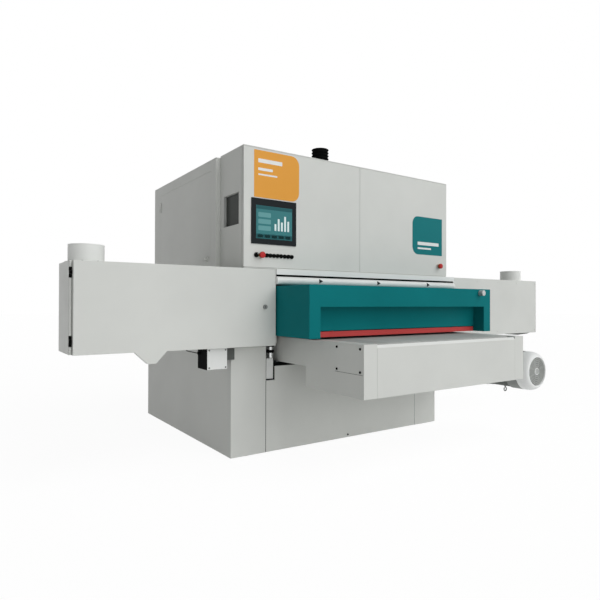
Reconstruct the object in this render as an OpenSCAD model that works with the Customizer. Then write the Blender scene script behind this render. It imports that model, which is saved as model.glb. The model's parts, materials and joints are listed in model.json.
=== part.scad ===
// Wide belt sander with a fixed-height feed table and a head that lifts on four screw jacks.
// Millimetres. Origin on the floor, midway between the table's two ends, on the work line.
// +X along the cross belt, +Y along the feed, +Z up.

/* [Table] */
// Height of the feed belt above the floor
table_top = 912; // [880:1:950]
// Length of the feed table from nose to tail
table_len = 3030; // [2900:10:3200]
// Width of the feed belt
belt_w = 1490; // [1400:2:1600]
// Thickness of the feed belt
belt_t = 4; // [3:0.5:6]
// Diameter of the nose and tail rollers
roller_d = 140; // [120:1:144]
// Diameter of the nose and tail roller shafts
roller_shaft_d = 50; // [40:1:56]
// Thickness of the bed plate under the belt
bed_t = 12; // [8:1:20]
// Thickness of each table side plate
side_plate_t = 20; // [14:1:26]
// Depth of each table side plate
side_plate_h = 188; // [170:1:192]
// Depth of each cross member of the table frame
member_h = 90; // [60:1:100]
// Width of each cross member of the table frame
member_w = 60; // [40:1:80]
// Number of cross members
member_count = 7; // [5:1:9]
// Reach of each end cap past the side plate
cap_reach = 96; // [90:1:110]
// Depth of the end caps and apron below the table top
apron_drop = 354; // [340:1:370]
// Length of the deep front box
apron_len = 647; // [620:1:680]
// Gap left open above the apron for the belt nose
apron_gap = 6; // [4:1:34]
// Sheet thickness of the caps
cap_wall = 4; // [3:0.5:6]
// Sheet thickness of the aprons
apron_wall = 12; // [8:1:14]

/* [Base] */
// Distance from the table's front end to the base's front face
infeed_len = 998; // [960:1:1040]
// Depth of the base, front to back
base_d = 1934; // [1900:2:2000]
// Width of the left pedestal
left_ped_w = 303; // [280:1:330]
// Width of the right pedestal's lower box
right_ped_w = 284; // [260:1:300]
// Sheet thickness of the pedestals
ped_wall = 6; // [4:0.5:8]
// Thickness of the pedestal floors
ped_floor = 16; // [12:1:20]
// Height of the levelling feet
foot_h = 12; // [8:1:20]
// Diameter of the levelling feet
foot_d = 90; // [70:1:110]
// Diameter of the levelling feet studs
foot_stud_d = 20; // [14:1:24]
// Height of the seat that the jacks stand on
jack_seat = 560; // [520:1:570]
// Depth of each base cross beam
beam_h = 120; // [100:1:140]
// Width of each base cross beam
beam_w = 100; // [90:1:110]
// Height of the front and rear panels' top edge
panel_top = 681; // [640:1:690]
// Thickness of the front and rear panels
panel_t = 12; // [8:1:14]
// Width of the notch in the front panel
notch_w = 83; // [60:1:90]
// Height of the notch floor
notch_floor = 572; // [571:1:600]
// Thickness of the base's upper skirts
skirt_t = 20; // [12:1:24]
// Height that the skirts stand above the pedestal tops
skirt_rise = 192; // [170:1:200]

/* [Lift] */
// Travel of the head
lift_travel = 150; // [100:1:152]
// Diameter of the lift spindles
spindle_d = 44; // [36:1:48]
// Width of each jack housing
jack_w = 70; // [66:1:74]
// Height of each jack housing
jack_h = 160; // [140:1:180]
// Diameter of the collar on each jack housing
jack_collar_d = 62; // [58:1:66]
// Distance from the table's left side plate to the left spindles
jack_off_left = 155; // [140:1:165]
// Distance from the table's right side plate to the right spindles
jack_off_right = 100; // [95:1:120]
// Thickness of the brackets that stand on the spindles
bracket_h = 60; // [40:1:64]

/* [Head] */
// Gap between the feed belt and the lowest tool, at the lower stop
work_gap = 18; // [14:1:24]
// Depth of the head behind the cabinet
head_d = 1452; // [1400:2:1500]
// Wall thickness of the head
head_wall = 12; // [8:1:14]
// How far the cabinet roof stands above the head roof
roof_step = 9; // [4:1:20]
// Width of the service door
service_w = 1170; // [1100:2:1190]
// Height of the service door
service_h = 1190; // [1150:2:1270]
// Depth of the service door pan
service_t = 30; // [20:1:36]

/* [Cabinet] */
// Height of the cabinet
cab_h = 900; // [860:2:940]
// Depth of the cabinet
cab_d = 395; // [380:1:420]
// How far the cabinet front stands in front of the base
cab_overhang = 160; // [140:1:180]
// Inset of the cabinet sides from the base sides
cab_inset = 18.5; // [10:0.5:24]
// Sheet thickness of the cabinet
cab_wall = 6; // [4:0.5:8]
// Thickness of the cabinet doors
door_t = 25; // [20:1:30]
// Skin thickness of all door pans
skin_t = 3; // [2:0.5:4]
// Gap between the two cabinet doors
door_seam = 3; // [2:0.5:6]
// Diameter of the cabinet hinge pins
hinge_pin_d = 10; // [8:0.5:12]
// Width of the touch panel
hmi_w = 394; // [360:1:410]
// Height of the touch panel
hmi_h = 338; // [310:1:350]
// Length of the window in the cabinet's left side
window_len = 254; // [220:1:270]
// Height of the window in the cabinet's left side
window_h = 240; // [200:1:260]
// Depth of the window recess
window_depth = 29; // [20:1:40]
// Pitch of the small devices in the control row
device_pitch = 31.8; // [30.5:0.1:34]
// Diameter of the plungers and stems in the control row
stem_d = 18; // [16:0.5:19]
// Travel of the push buttons
button_travel = 4; // [2:0.5:5]
// Travel of the emergency stops
estop_travel = 5; // [3:0.5:6]

/* [Arms] */
// Length of each arm cover
arm_len = 1426; // [1380:2:1460]
// Height of the arms
arm_h = 579; // [560:1:600]
// Drop of the arm underside below the table top
arm_drop = 55; // [50:1:60]
// Sheet thickness of the arm casings
arm_wall = 4; // [3:0.5:6]
// Depth of the arm door and cover
arm_door_t = 50; // [40:1:60]
// Ledge of the casing past the end of the door
arm_ledge = 18; // [17:0.5:20]
// Depth of the dip in the left arm's door
dip_h = 78; // [60:1:90]
// Outside diameter of the dust spigots
spigot_d = 224; // [200:1:250]
// Height of the dust spigots
spigot_h = 117; // [100:1:150]
// Diameter of the arm hinge barrels
arm_barrel_d = 16; // [14:0.5:17]

/* [Hood] */
// Reach of the hood in front of the cabinet
hood_reach = 427; // [400:1:450]
// Height of the hood
hood_h = 378; // [360:1:380]
// Depth of the recess between the posts
hood_recess = 110; // [90:1:120]
// Height of the closed part above the recess
hood_brow = 156; // [140:1:170]
// Width of the hood's left post
left_post_w = 96; // [80:1:110]
// Width of the hood's right post
right_post_w = 92; // [80:1:110]
// Sheet thickness of the hood
hood_wall = 12; // [8:1:14]
// Height of the trip bar
trip_h = 40; // [30:1:44]
// Thickness of the trip bar
trip_t = 20; // [14:1:20]
// Diameter of the rounded rail over the hood
rail_d = 60; // [50:1:64]
// Diameter of the clamp knob
knob_d = 50; // [40:1:60]

/* [Sanding units] */
// Width of the wide belt
wide_belt_w = 1480; // [1400:2:1486]
// Thickness of both sanding belts
grit_t = 2.5; // [1.5:0.1:4]
// Diameter of the contact and tension rollers
drum_d = 220; // [200:2:240]
// Height from contact roller to tension roller
drum_rise = 900; // [860:2:920]
// Diameter of the drum shafts
drum_shaft_d = 60; // [50:1:70]
// Travel of the tension yoke
yoke_travel = 20; // [10:1:30]
// Width of the cross belt
cross_belt_w = 180; // [160:1:190]
// Diameter of the cross belt pulleys
pulley_d = 380; // [360:2:390]
// Distance of each cross belt pulley from the work line
pulley_x = 2150; // [2100:2:2180]
// Diameter of the cross belt shafts
pulley_shaft_d = 50; // [40:1:60]
// Diameter of the wide belt motor
wide_motor_d = 320; // [280:2:340]
// Length of the wide belt motor
wide_motor_len = 440; // [400:2:480]
// Diameter of the cross belt motor
cross_motor_d = 260; // [220:2:280]
// Length of the cross belt motor
cross_motor_len = 260; // [220:2:270]

/* [Feed drive] */
// Distance of the motor axis from the right end cap
motor_off = 249; // [240:1:270]
// Height of the motor axis above the floor
motor_z = 597; // [585:1:610]
// Diameter of the motor frame
motor_d = 320; // [220:2:326]
// Diameter of the fan cowl
cowl_d = 334; // [310:2:340]
// Length of the fan cowl
cowl_len = 210; // [180:2:230]
// Length of the motor from flange to cowl face
motor_len = 440; // [420:2:450]
// Diameter of both sprockets at the chain
sprocket_d = 100; // [80:1:104]
// Thickness of the sprockets
sprocket_t = 12; // [8:1:14]
// Radial thickness of the chain
chain_t = 8; // [6:0.5:9]
// Diameter of the gearbox output shaft
output_d = 40; // [30:1:46]

/* [Hidden] */
$fn = 64;
// Running clearance, radial
run = 0.05;
// Clearance between curved faces on different bodies
air = 0.3;
// Narrow seam between sheets of one body
seam = 0.3;
// Overrun of cuts
cut = 5;

// Paint and finish
paint = "#C9CBC8";
white = "#E0E3E2";
teal = "#206E71";
red = "#A03A3A";
black = "#1A1C1B";
steel = "#9A9EA1";
rubber = "#9EA09C";
grit = "#6E5A46";
motor_grey = "#D8DCDB";

// Table places
y_nose = -table_len / 2;
y_tail = table_len / 2;
belt_half = belt_w / 2;
belt_side_gap = 10;
plate_in = belt_half + belt_side_gap;
plate_out = plate_in + side_plate_t;
cap_out = plate_out + cap_reach;
bed_top = table_top - belt_t;
plate_z0 = bed_top - side_plate_h;
roller_r = roller_d / 2;
roller_z = bed_top - air - roller_r;
roller_inset = 16;
belt_out_r = roller_r + air + belt_t;
y_roller = table_len / 2 - roller_inset - belt_out_r;
apron_z0 = table_top - apron_drop;
apron_back = y_nose + apron_len;
plate_front = y_nose + cap_wall + seam;
bearing_t = 50;
bearing_size = 110;
shaft_stub = 45;
plate_bore_gap = 5;
plate_bore_r = roller_shaft_d / 2 + plate_bore_gap;
leg_w = 60;
bed_margin = 85;
cap_gap = 4;
cap_shallow_z = plate_z0 - cap_wall - cap_gap;

// Base places
base_front = y_nose + infeed_len;
base_back = base_front + base_d;
jack_left = -(plate_out + jack_off_left);
jack_right = plate_out + jack_off_right;
jack_ped_gap = 77;
jack_skirt_gap = 6;
ped_in_left = jack_left - jack_ped_gap;
base_left = ped_in_left - left_ped_w;
skirt_in_right = jack_right + jack_w / 2 + jack_skirt_gap;
base_right = skirt_in_right + skirt_t;
ped_in_right = base_right - right_ped_w;
cap_end_gap = 8;
cap_end = base_front - cap_end_gap;
base_mid = (base_left + base_right) / 2;
base_half = (base_right - base_left) / 2;
jack_rear_inset = 367;
stand_back = min(base_back, y_tail);
jack_y_front = base_front + panel_t + beam_w / 2;
jack_y_rear = stand_back - jack_rear_inset;
beam_mid_y = (jack_y_front + jack_y_rear) / 2;
beam_ys = [jack_y_front, beam_mid_y, jack_y_rear];
jack_xs = [jack_left, jack_right];
jack_ys = [jack_y_front, jack_y_rear];
spindle_gap_r = 8;
jack_collar_h = 15;
leg_d = 80;
leg_bite = 20;
foot_inset = 80;
access_w = 150;
access_len = 500;
beam_tube = 10;

// Arm and head heights
arm_z0 = table_top - arm_drop;
arm_top = arm_z0 + arm_h;
ped_gap = 17;
pedestal_top = arm_z0 - ped_gap;
skirt_top = pedestal_top + skirt_rise;
tool_z = table_top + work_gap;
hood_z0 = tool_z;
hood_top = hood_z0 + hood_h;
cab_z0 = arm_top;
cab_top = cab_z0 + cab_h;
wall_z0 = arm_z0 + head_wall;
service_sill = 13;
service_z0 = skirt_top + service_sill;
service_z1 = service_z0 + service_h;
service_margin = 40;
head_top = max(cab_top - roof_step, service_z1 + service_margin + head_wall);
bracket_top_gap = 10;
bracket_z0 = tool_z - bracket_top_gap - bracket_h;
spindle_bite = 65;
spindle_low = jack_seat + jack_h + jack_collar_h - lift_travel - spindle_bite;
pass_gap = 15;
pass_z = tool_z + pass_gap;
pass_side = 25;
pass_half = plate_out + pass_side;

// Head and cabinet places
skirt_gap = 6;
head_left = base_mid - base_half - skirt_gap - head_wall;
head_right = base_mid + base_half + skirt_gap + head_wall;
cab_left = base_mid - base_half + cab_inset;
cab_right = base_mid + base_half - cab_inset;
cab_front = base_front - cab_overhang;
cab_back = cab_front + cab_d;
front_plate_t = 8;
front_plate_y = cab_back - front_plate_t;
service_front_gap = 97;
service_y0 = cab_back + service_front_gap;
service_y1 = service_y0 + service_w;
head_back = cab_back + head_d;
skirt_front = cab_back + head_wall;
skirt_end_gap = 8;
skirt_back = head_back - head_wall - skirt_end_gap;
return_lap = 20;
bracket_side = 3;
bracket_half = jack_w / 2 + bracket_side;

// Arms
mouth_gap = 145;
arm_in = cap_out + mouth_gap;
grit_r = pulley_d / 2 + air + grit_t;
arm_end = arm_in + arm_len;
casing_end = arm_end + arm_ledge;
door_gap = 2;
casing_front = cab_front + arm_door_t + door_gap;
arm_flange = 22;
spigot_end_gap = 140;
spigot_x = casing_end - spigot_end_gap;
spigot_y_share = 0.61;
spigot_y = cab_front + spigot_y_share * cab_d;
spigot_wall = 3;
spigot_flange_w = 20;
spigot_flange_t = 6;
spigot_seat_w = 10;
spigot_hole_r = spigot_d / 2 + spigot_flange_w - spigot_seat_w;
// Places of the dip's four corners along the left arm's door, from its outer end
dip_shares = [0.259, 0.318, 0.356, 0.408];

// Arm hinge and latch
arm_hinge_gap = 1.5;
arm_axis_x = -arm_end - arm_barrel_d / 2 - arm_hinge_gap;
arm_axis_y = casing_front - arm_barrel_d / 2 - arm_hinge_gap;
arm_pin_d = 8;
arm_hinge_h = 64;
knuckle_gap = 0.5;
arm_hinge_shares = [0.145, 0.872];
latch_share = 0.066;
latch_z_share = 0.505;
latch_x = -arm_in - latch_share * arm_len;
latch_z = arm_z0 + latch_z_share * arm_h;
latch_d = 34;
latch_t = 10;
latch_shaft_d = 12;
latch_cam_len = 44;
latch_cam_w = 16;

// Cross belt unit
cross_z = tool_z + grit_r;
cross_y_share = 0.5;
cross_y = cab_front + cross_y_share * cab_d;
pulley_side = 2;
pulley_rim = 14;
pulley_web = 24;
boss_d = 120;
boss_len = 66;
pulley_stub = 2;
motor_socket = 50;
beam_front_gap = 30;
beam_lip = 20;
beam_wall = 12;
belt_way = 25;

// Wide belt unit
unit_y_share = 0.504;
unit_y = cab_back + unit_y_share * head_d;
drum_r = drum_d / 2;
contact_z = tool_z + grit_t + air + drum_r;
tension_z = contact_z + drum_rise;
drum_side = 5;
drum_half = wide_belt_w / 2 + drum_side;
drum_tube = 14;
drum_web = 18;
drum_web_in = 40;
drum_web_hole_share = 0.58;
drum_web_hole_r = drum_web_hole_share * drum_r;
drum_web_hole_d = 32;
cheek_gap = 5;
cheek_t = 22;
cheek_in = drum_half + cheek_gap;
cheek_out = cheek_in + cheek_t;
cheek_w = 130;
unit_beam_h = 260;
unit_beam_z_share = 0.29;
unit_beam_z0 = contact_z + unit_beam_z_share * drum_rise;
unit_beam_w = 120;
unit_tube = 14;
guide_d = 60;
guide_boss_d = 96;
yoke_bar_h = 40;
yoke_bar_w = 70;
yoke_gap = 14;

// Service door
service_gap = 1.5;
service_barrel_d = 14;
service_axis_x = head_left - service_barrel_d / 2;
service_axis_y = service_y1 + service_gap / 2;
service_hinge_h = 90;
service_hinge_shares = [0.1, 0.9];
service_pin_d = 7;
service_leaf_w = 22;
service_leaf_t = 3;
handle_inset = 58;
handle_z_share = 0.4086;
handle_y = service_y0 + handle_inset;
handle_z = service_z0 + handle_z_share * service_h;
handle_rose_d = 44;
handle_rose_t = 10;
handle_len = 90;
handle_w = 16;
handle_shaft_d = 16;
handle_stand = 24;
handle_boss_d = 40;

// Cabinet doors
door_z0 = cab_z0 + cab_wall + door_gap;
door_z1 = cab_top - cab_wall - door_gap;
door_back = cab_front + door_t;
shell_front = door_back + cab_wall;
seam_shift = 5;
door_seam_x = base_mid + seam_shift;
hinge_edge = 8;
hinge_block = 24;
hinge_bite = 36;
left_hinge_x = cab_left + hinge_edge;
right_hinge_x = cab_right - hinge_edge;
hinge_y = cab_front + door_t / 2;

// Touch panel and control row
hmi_side = 61;
hmi_x0 = cab_left + hmi_side;
hmi_z_share = 0.201;
hmi_z0 = cab_z0 + hmi_z_share * cab_h;
hmi_stand = 7;
hmi_inset = 10;
hmi_depth = 70;
screen_side_share = 0.098;
screen_low_share = 0.117;
screen_w_share = 0.81;
screen_h_share = 0.733;
screen_sink = 3;
row_z_share = 0.109;
row_z = cab_z0 + row_z_share * cab_h;
row_inset = 104.5;
selector_x = cab_left + row_inset;
estop_step = 37;
estop_x = selector_x + estop_step;
first_device_step = 51.5;
device_x = estop_x + first_device_step;
device_count = 8;
button_slots = [0, 3, 6];
right_estop_inset = 114.5;
right_estop_x = cab_right - right_estop_inset;
collar_w = 3.5;
collar_t = 6;
stem_in = 22;
stem_lip = 4;
stem_lip_t = 4;
cap_proud = 3;
cap_stand = collar_t + button_travel + cap_proud;
mushroom_d = 46;
mushroom_t = 14;
mushroom_proud = 11;
mushroom_stand = collar_t + estop_travel + mushroom_proud;
estop_ring_d = 56;
selector_d = 26;
selector_t = 12;
selector_bar_w = 8;
selector_bar_t = 9;

// Window, control gear and roof port
window_y_share = 0.205;
window_y0 = cab_front + window_y_share * cab_d;
window_z_share = 0.366;
window_z0 = cab_z0 + window_z_share * cab_h;
gear_t = 8;
gear_margin = 90;
// Boxes on the control gear plate: place, width, foot, height and depth, as shares of the plate
gear_shares = [
    [0.04, 0.22, 0.55, 0.36, 0.30],
    [0.31, 0.14, 0.55, 0.36, 0.38],
    [0.50, 0.14, 0.55, 0.36, 0.38],
    [0.70, 0.26, 0.52, 0.40, 0.42],
    [0.06, 0.40, 0.10, 0.16, 0.22],
    [0.52, 0.42, 0.10, 0.16, 0.22]
];
port_x_share = 0.387;
port_x = cab_left + port_x_share * (cab_right - cab_left);
port_y_share = 0.57;
port_y = cab_front + port_y_share * cab_d;
port_d = 130;
port_h = 156;
port_wall = 6;
port_rib = 8;
port_rib_count = 5;
port_flange_w = 26;

// Hood
hood_gap = 10;
hood_half = arm_in - hood_gap;
hood_front = cab_front - hood_reach;
hood_back = cross_y - cross_belt_w / 2 - beam_front_gap;
brow_z = hood_top - hood_brow;
recess_y = hood_front + hood_recess;
recess_x0 = -hood_half + left_post_w;
recess_x1 = hood_half - right_post_w;
trip_gap = 6;
trip_side = 8;
trip_pivot_rise = 120;
trip_pivot_in = 44;
trip_pivot_y = recess_y + trip_pivot_in;
trip_pivot_z = hood_z0 + trip_pivot_rise;
trip_pin_d = 12;
trip_x_share = 0.7;
trip_x = trip_x_share * hood_half;
hanger_t = 10;
hanger_half = 15;
hanger_gap = 4;
hanger_front = recess_y + hood_wall + hanger_gap;
ear_t = 8;
ear_gap = 2;
ear_h = 34;
rail_reach = 28;
rail_y = cab_front - rail_reach + rail_d / 2;
rail_rise = 12;
rail_z = hood_top + rail_rise + rail_d / 2;
rail_plate_t = 12;
rail_strip_t = 13;
rail_strip_h = 41;
knob_x_share = 0.848;
knob_x = knob_x_share * hood_half;
knob_drop = 36;
knob_z = hood_top - knob_drop;
knob_len = 42;
knob_shaft_d = 16;
knob_neck = 4;
knob_lobes = 8;
knob_flute_d = 8;

// Feed drive
sprocket_r = sprocket_d / 2;
chain_gap = 13;
chain_x = plate_out + bearing_t + chain_gap;
chain_r = sprocket_r + air + chain_t;
drive_inset = 92;
drive_y = apron_back - drive_inset;
drive_rise = 80;
drive_z = motor_z + drive_rise;
nose_y = -y_roller;
chain_dy = drive_y - nose_y;
chain_dz = drive_z - roller_z;
chain_len = sqrt(chain_dy * chain_dy + chain_dz * chain_dz);
chain_turn = atan2(chain_dz, chain_dy);
motor_x = cap_out + motor_off;
gear_w = 150;
gear_half_y = 90;
gear_top_r = 88;
gear_foot = 160;
gear_flange_d = 120;
gear_x0 = motor_x - gear_w / 2;
motor_flange_y = drive_y - gear_half_y;
motor_face_y = motor_flange_y - motor_len;
motor_flange_w = 3;
motor_flange_d = motor_d + 2 * motor_flange_w;
motor_flange_t = 14;
cowl_round = 36;
terminal_w = 130;
terminal_h = 40;
terminal_len = 120;
cap_hole_gap = 8;

// The right skirt ends below the contact roller's shaft, and the right wall still covers it at full lift
shaft_way = drum_shaft_d / 2 + cap_hole_gap;
right_skirt_top = contact_z - shaft_way;
skirt_lap = 5;
right_wall_z0 = right_skirt_top - lift_travel - skirt_lap;

// Junction box and its cable
jbox_w = 158;
jbox_h = 154;
jbox_d = 160;
jbox_gap = 74;
jbox_top_gap = 4;
jbox_front_gap = 83;
jbox_x1 = base_left - jbox_gap;
jbox_x0 = jbox_x1 - jbox_w;
jbox_y0 = base_front - jbox_front_gap;
jbox_z1 = arm_z0 - jbox_top_gap;
jbox_z0 = jbox_z1 - jbox_h;
jbox_wall = 4;
jbox_bracket_t = 14;
jbox_bracket_h = 84;
jbox_bracket_lap = 22;
jbox_bracket_drop = 57;
jbox_gland_d = 24;
jbox_gland_len = 14;
cable_d = 7;
cable_drop = 42;
cable_z = jbox_z1 - cable_drop;
cable_inset = 130;
cable_y = jbox_y0 + cable_inset;
cable_bend = 28;
cable_slope = 14;

// Shapes that repeat

module block(x0, x1, y0, y1, z0, z1) {
    translate([x0, y0, z0]) cube([x1 - x0, y1 - y0, z1 - z0]);
}

module rod_x(r, x0, x1, y, z) {
    translate([x0, y, z]) rotate([0, 90, 0]) cylinder(r = r, h = x1 - x0);
}

module rod_y(r, y0, y1, x, z) {
    translate([x, y1, z]) rotate([90, 0, 0]) cylinder(r = r, h = y1 - y0);
}

module rod_z(r, z0, z1, x, y) {
    translate([x, y, z0]) cylinder(r = r, h = z1 - z0);
}

// Outline in Y and Z, run along X
module along_x(x0, x1) {
    translate([x0, 0, 0]) rotate([90, 0, 90]) linear_extrude(x1 - x0) children();
}

// Outline in X and Z, run along Y
module along_y(y0, y1) {
    translate([0, y1, 0]) rotate([90, 0, 0]) linear_extrude(y1 - y0) children();
}

module stadium(r, len) {
    circle(r);
    translate([len, 0]) circle(r);
    translate([0, -r]) square([len, 2 * r]);
}

module loop(r_in, r_out, len) {
    difference() {
        stadium(r_out, len);
        stadium(r_in, len);
    }
}

module both_sides() {
    children();
    mirror([1, 0, 0]) children();
}

// Base

module skirt(x0, top) {
    block(x0, x0 + skirt_t, skirt_front, skirt_back, pedestal_top - ped_wall, top);
}

module foot_bores(x) {
    for (y = [base_front + foot_inset, base_back - foot_inset])
        rod_z(foot_stud_d / 2 + run, foot_h - cut, foot_h + ped_floor + cut, x, y);
}

// Hollow of a pedestal box, open through an access hole in its floor
module ped_hollow(x0, x1, top) {
    block(x0 + ped_wall, x1 - ped_wall, base_front + ped_wall, base_back - ped_wall,
        foot_h + ped_floor, top - ped_wall);
    x_mid = (x0 + x1) / 2;
    y_mid = (base_front + base_back) / 2;
    block(x_mid - access_w / 2, x_mid + access_w / 2, y_mid - access_len / 2, y_mid + access_len / 2,
        foot_h - cut, foot_h + ped_floor + cut);
}

module base_left_pedestal() {
    color(paint) difference() {
        union() {
            block(base_left, ped_in_left, base_front, base_back, foot_h, pedestal_top);
            skirt(base_left, skirt_top);
        }
        ped_hollow(base_left, ped_in_left, pedestal_top);
        foot_bores(base_left + left_ped_w / 2);
    }
}

module base_right_pedestal() {
    color(paint) difference() {
        union() {
            block(ped_in_right, base_right, base_front, base_back, foot_h, jack_seat);
            block(skirt_in_right, base_right, base_front, base_back, jack_seat - ped_wall, pedestal_top);
            skirt(skirt_in_right, right_skirt_top);
        }
        ped_hollow(ped_in_right, base_right, jack_seat);
        foot_bores(base_right - right_ped_w / 2);
        for (y = jack_ys)
            rod_z(spindle_d / 2 + spindle_gap_r, jack_seat - ped_wall - cut, jack_seat + cut, jack_right, y);
    }
}

module base_cross_beams() {
    color(steel) difference() {
        for (y = beam_ys)
            block(ped_in_left, ped_in_right, y - beam_w / 2, y + beam_w / 2, jack_seat - beam_h, jack_seat);
        for (y = beam_ys)
            block(ped_in_left - cut, ped_in_right + cut,
                y - beam_w / 2 + beam_tube, y + beam_w / 2 - beam_tube,
                jack_seat - beam_h + beam_tube, jack_seat - beam_tube);
        for (y = jack_ys)
            rod_z(spindle_d / 2 + spindle_gap_r, jack_seat - beam_h - cut, jack_seat + cut, jack_left, y);
    }
}

module base_panels() {
    color(paint) {
        difference() {
            block(ped_in_left, ped_in_right, base_front, base_front + panel_t, foot_h, panel_top);
            block(ped_in_left - cut, ped_in_left + notch_w, base_front - cut, base_front + panel_t + cut,
                notch_floor, panel_top + cut);
        }
        block(ped_in_left, ped_in_right, base_back - panel_t, base_back, foot_h, panel_top);
    }
}

module levelling_feet() {
    color(black)
        for (x = [base_left + left_ped_w / 2, base_right - right_ped_w / 2])
            for (y = [base_front + foot_inset, base_back - foot_inset]) {
                rod_z(foot_d / 2, 0, foot_h, x, y);
                rod_z(foot_stud_d / 2, 0, foot_h + ped_floor + cut, x, y);
            }
}

module lift_jacks() {
    color(steel)
        for (x = jack_xs)
            for (y = jack_ys)
                difference() {
                    union() {
                        block(x - jack_w / 2, x + jack_w / 2, y - jack_w / 2, y + jack_w / 2,
                            jack_seat, jack_seat + jack_h);
                        rod_z(jack_collar_d / 2, jack_seat, jack_seat + jack_h + jack_collar_h, x, y);
                    }
                    rod_z(spindle_d / 2 + run, jack_seat - cut,
                        jack_seat + jack_h + jack_collar_h + cut, x, y);
                }
}

// Table

module table_frame() {
    first = -(y_roller - bed_margin - member_w);
    step = -2 * first / (member_count - 1);
    member_top = bed_top - bed_t;
    color(steel) difference() {
        union() {
            both_sides() block(plate_in, plate_out, plate_front, y_tail, plate_z0, bed_top);
            for (i = [0 : member_count - 1])
                block(-plate_out, plate_out, first + i * step - member_w / 2, first + i * step + member_w / 2,
                    member_top - member_h, member_top);
            for (y = beam_ys)
                both_sides() block(plate_in, plate_in + leg_w, y - leg_d / 2, y + leg_d / 2,
                    jack_seat, plate_z0 + leg_bite);
        }
        for (y = [-y_roller, y_roller])
            rod_x(plate_bore_r, -plate_out - cut, plate_out + cut, y, roller_z);
    }
}

module bed_plate() {
    color(steel)
        block(-belt_half, belt_half, -y_roller + bed_margin, y_roller - bed_margin, bed_top - bed_t, bed_top);
}

module feed_belt() {
    color(rubber) along_x(-belt_half, belt_half)
        translate([-y_roller, roller_z]) loop(roller_r + air, belt_out_r, 2 * y_roller);
}

module table_aprons() {
    half = plate_in - seam;
    top = table_top - apron_gap;
    color(paint) {
        block(-half, half, y_nose, y_nose + apron_wall, apron_z0, top);
        block(-half, half, y_nose, apron_back, apron_z0, apron_z0 + cap_wall);
        block(-half, half, apron_back - cap_wall, apron_back, apron_z0, plate_z0);
        block(-half, half, y_tail - apron_wall, y_tail, plate_z0, top);
    }
}

// Side view of an end cap, drawn in by a wall on every side but the rear
module cap_profile(wall, top, rear) {
    polygon([
        [y_nose + wall, apron_z0 + wall],
        [apron_back - wall, apron_z0 + wall],
        [apron_back - wall, cap_shallow_z + wall],
        [rear, cap_shallow_z + wall],
        [rear, top],
        [y_nose + wall, top]
    ]);
}

module cap_shell() {
    difference() {
        along_x(plate_in, cap_out) cap_profile(0, table_top, cap_end);
        along_x(plate_in - cut, cap_out - cap_wall) cap_profile(cap_wall, bed_top, cap_end + cut);
    }
}

module table_caps() {
    color(paint) {
        mirror([1, 0, 0]) cap_shell();
        difference() {
            cap_shell();
            rod_x(output_d / 2 + cap_hole_gap, cap_out - cap_wall - cut, cap_out + cut, drive_y, drive_z);
        }
    }
}

module roller_bearings() {
    half = bearing_size / 2;
    color(steel)
        for (y = [-y_roller, y_roller])
            both_sides() difference() {
                block(plate_out, plate_out + bearing_t, y - half, y + half, roller_z - half, roller_z + half);
                rod_x(roller_shaft_d / 2 + run, plate_out - cut, plate_out + bearing_t + cut, y, roller_z);
            }
}

module table_roller(y, right_end) {
    rod_x(roller_r, -belt_half, belt_half, y, roller_z);
    rod_x(roller_shaft_d / 2, -plate_out - shaft_stub, right_end, y, roller_z);
}

module nose_roller() {
    color(steel) {
        table_roller(-y_roller, chain_x + sprocket_t);
        rod_x(sprocket_r, chain_x, chain_x + sprocket_t, -y_roller, roller_z);
    }
}

module tail_roller() {
    color(steel) table_roller(y_roller, plate_out + shaft_stub);
}

// Feed drive

module drive_sprocket() {
    color(steel) {
        rod_x(sprocket_r, chain_x, chain_x + sprocket_t, drive_y, drive_z);
        rod_x(output_d / 2, chain_x, motor_x, drive_y, drive_z);
    }
}

module feed_chain() {
    color(black) along_x(chain_x, chain_x + sprocket_t)
        translate([nose_y, roller_z]) rotate(chain_turn) loop(sprocket_r + air, chain_r, chain_len);
}

module feed_gearbox() {
    color(motor_grey) difference() {
        union() {
            block(gear_x0, gear_x0 + gear_w, drive_y - gear_half_y, drive_y + gear_half_y,
                motor_z - gear_foot, drive_z);
            rod_x(gear_top_r, gear_x0, gear_x0 + gear_w, drive_y, drive_z);
            rod_x(gear_flange_d / 2, cap_out, gear_x0 + cut, drive_y, drive_z);
        }
        rod_x(output_d / 2 + run, cap_out - cut, motor_x + cut, drive_y, drive_z);
    }
}

module cowl_profile() {
    square([cowl_d / 2 - cowl_round, cowl_len]);
    translate([0, cowl_round]) square([cowl_d / 2, cowl_len - cowl_round]);
    translate([cowl_d / 2 - cowl_round, cowl_round]) circle(cowl_round);
}

module feed_motor() {
    color(motor_grey) {
        rod_y(motor_d / 2, motor_face_y + cowl_len - cut, motor_flange_y, motor_x, motor_z);
        rod_y(motor_flange_d / 2, motor_flange_y - motor_flange_t, motor_flange_y, motor_x, motor_z);
        translate([motor_x, motor_face_y, motor_z]) rotate([-90, 0, 0])
            rotate_extrude() intersection() {
                cowl_profile();
                square([cowl_d, cowl_len]);
            }
        terminal_y = (motor_face_y + cowl_len + motor_flange_y) / 2;
        block(motor_x, motor_x + motor_d / 2 + terminal_h, terminal_y - terminal_len / 2,
            terminal_y + terminal_len / 2, motor_z - terminal_w / 2, motor_z + terminal_w / 2);
    }
}

// Junction box

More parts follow.
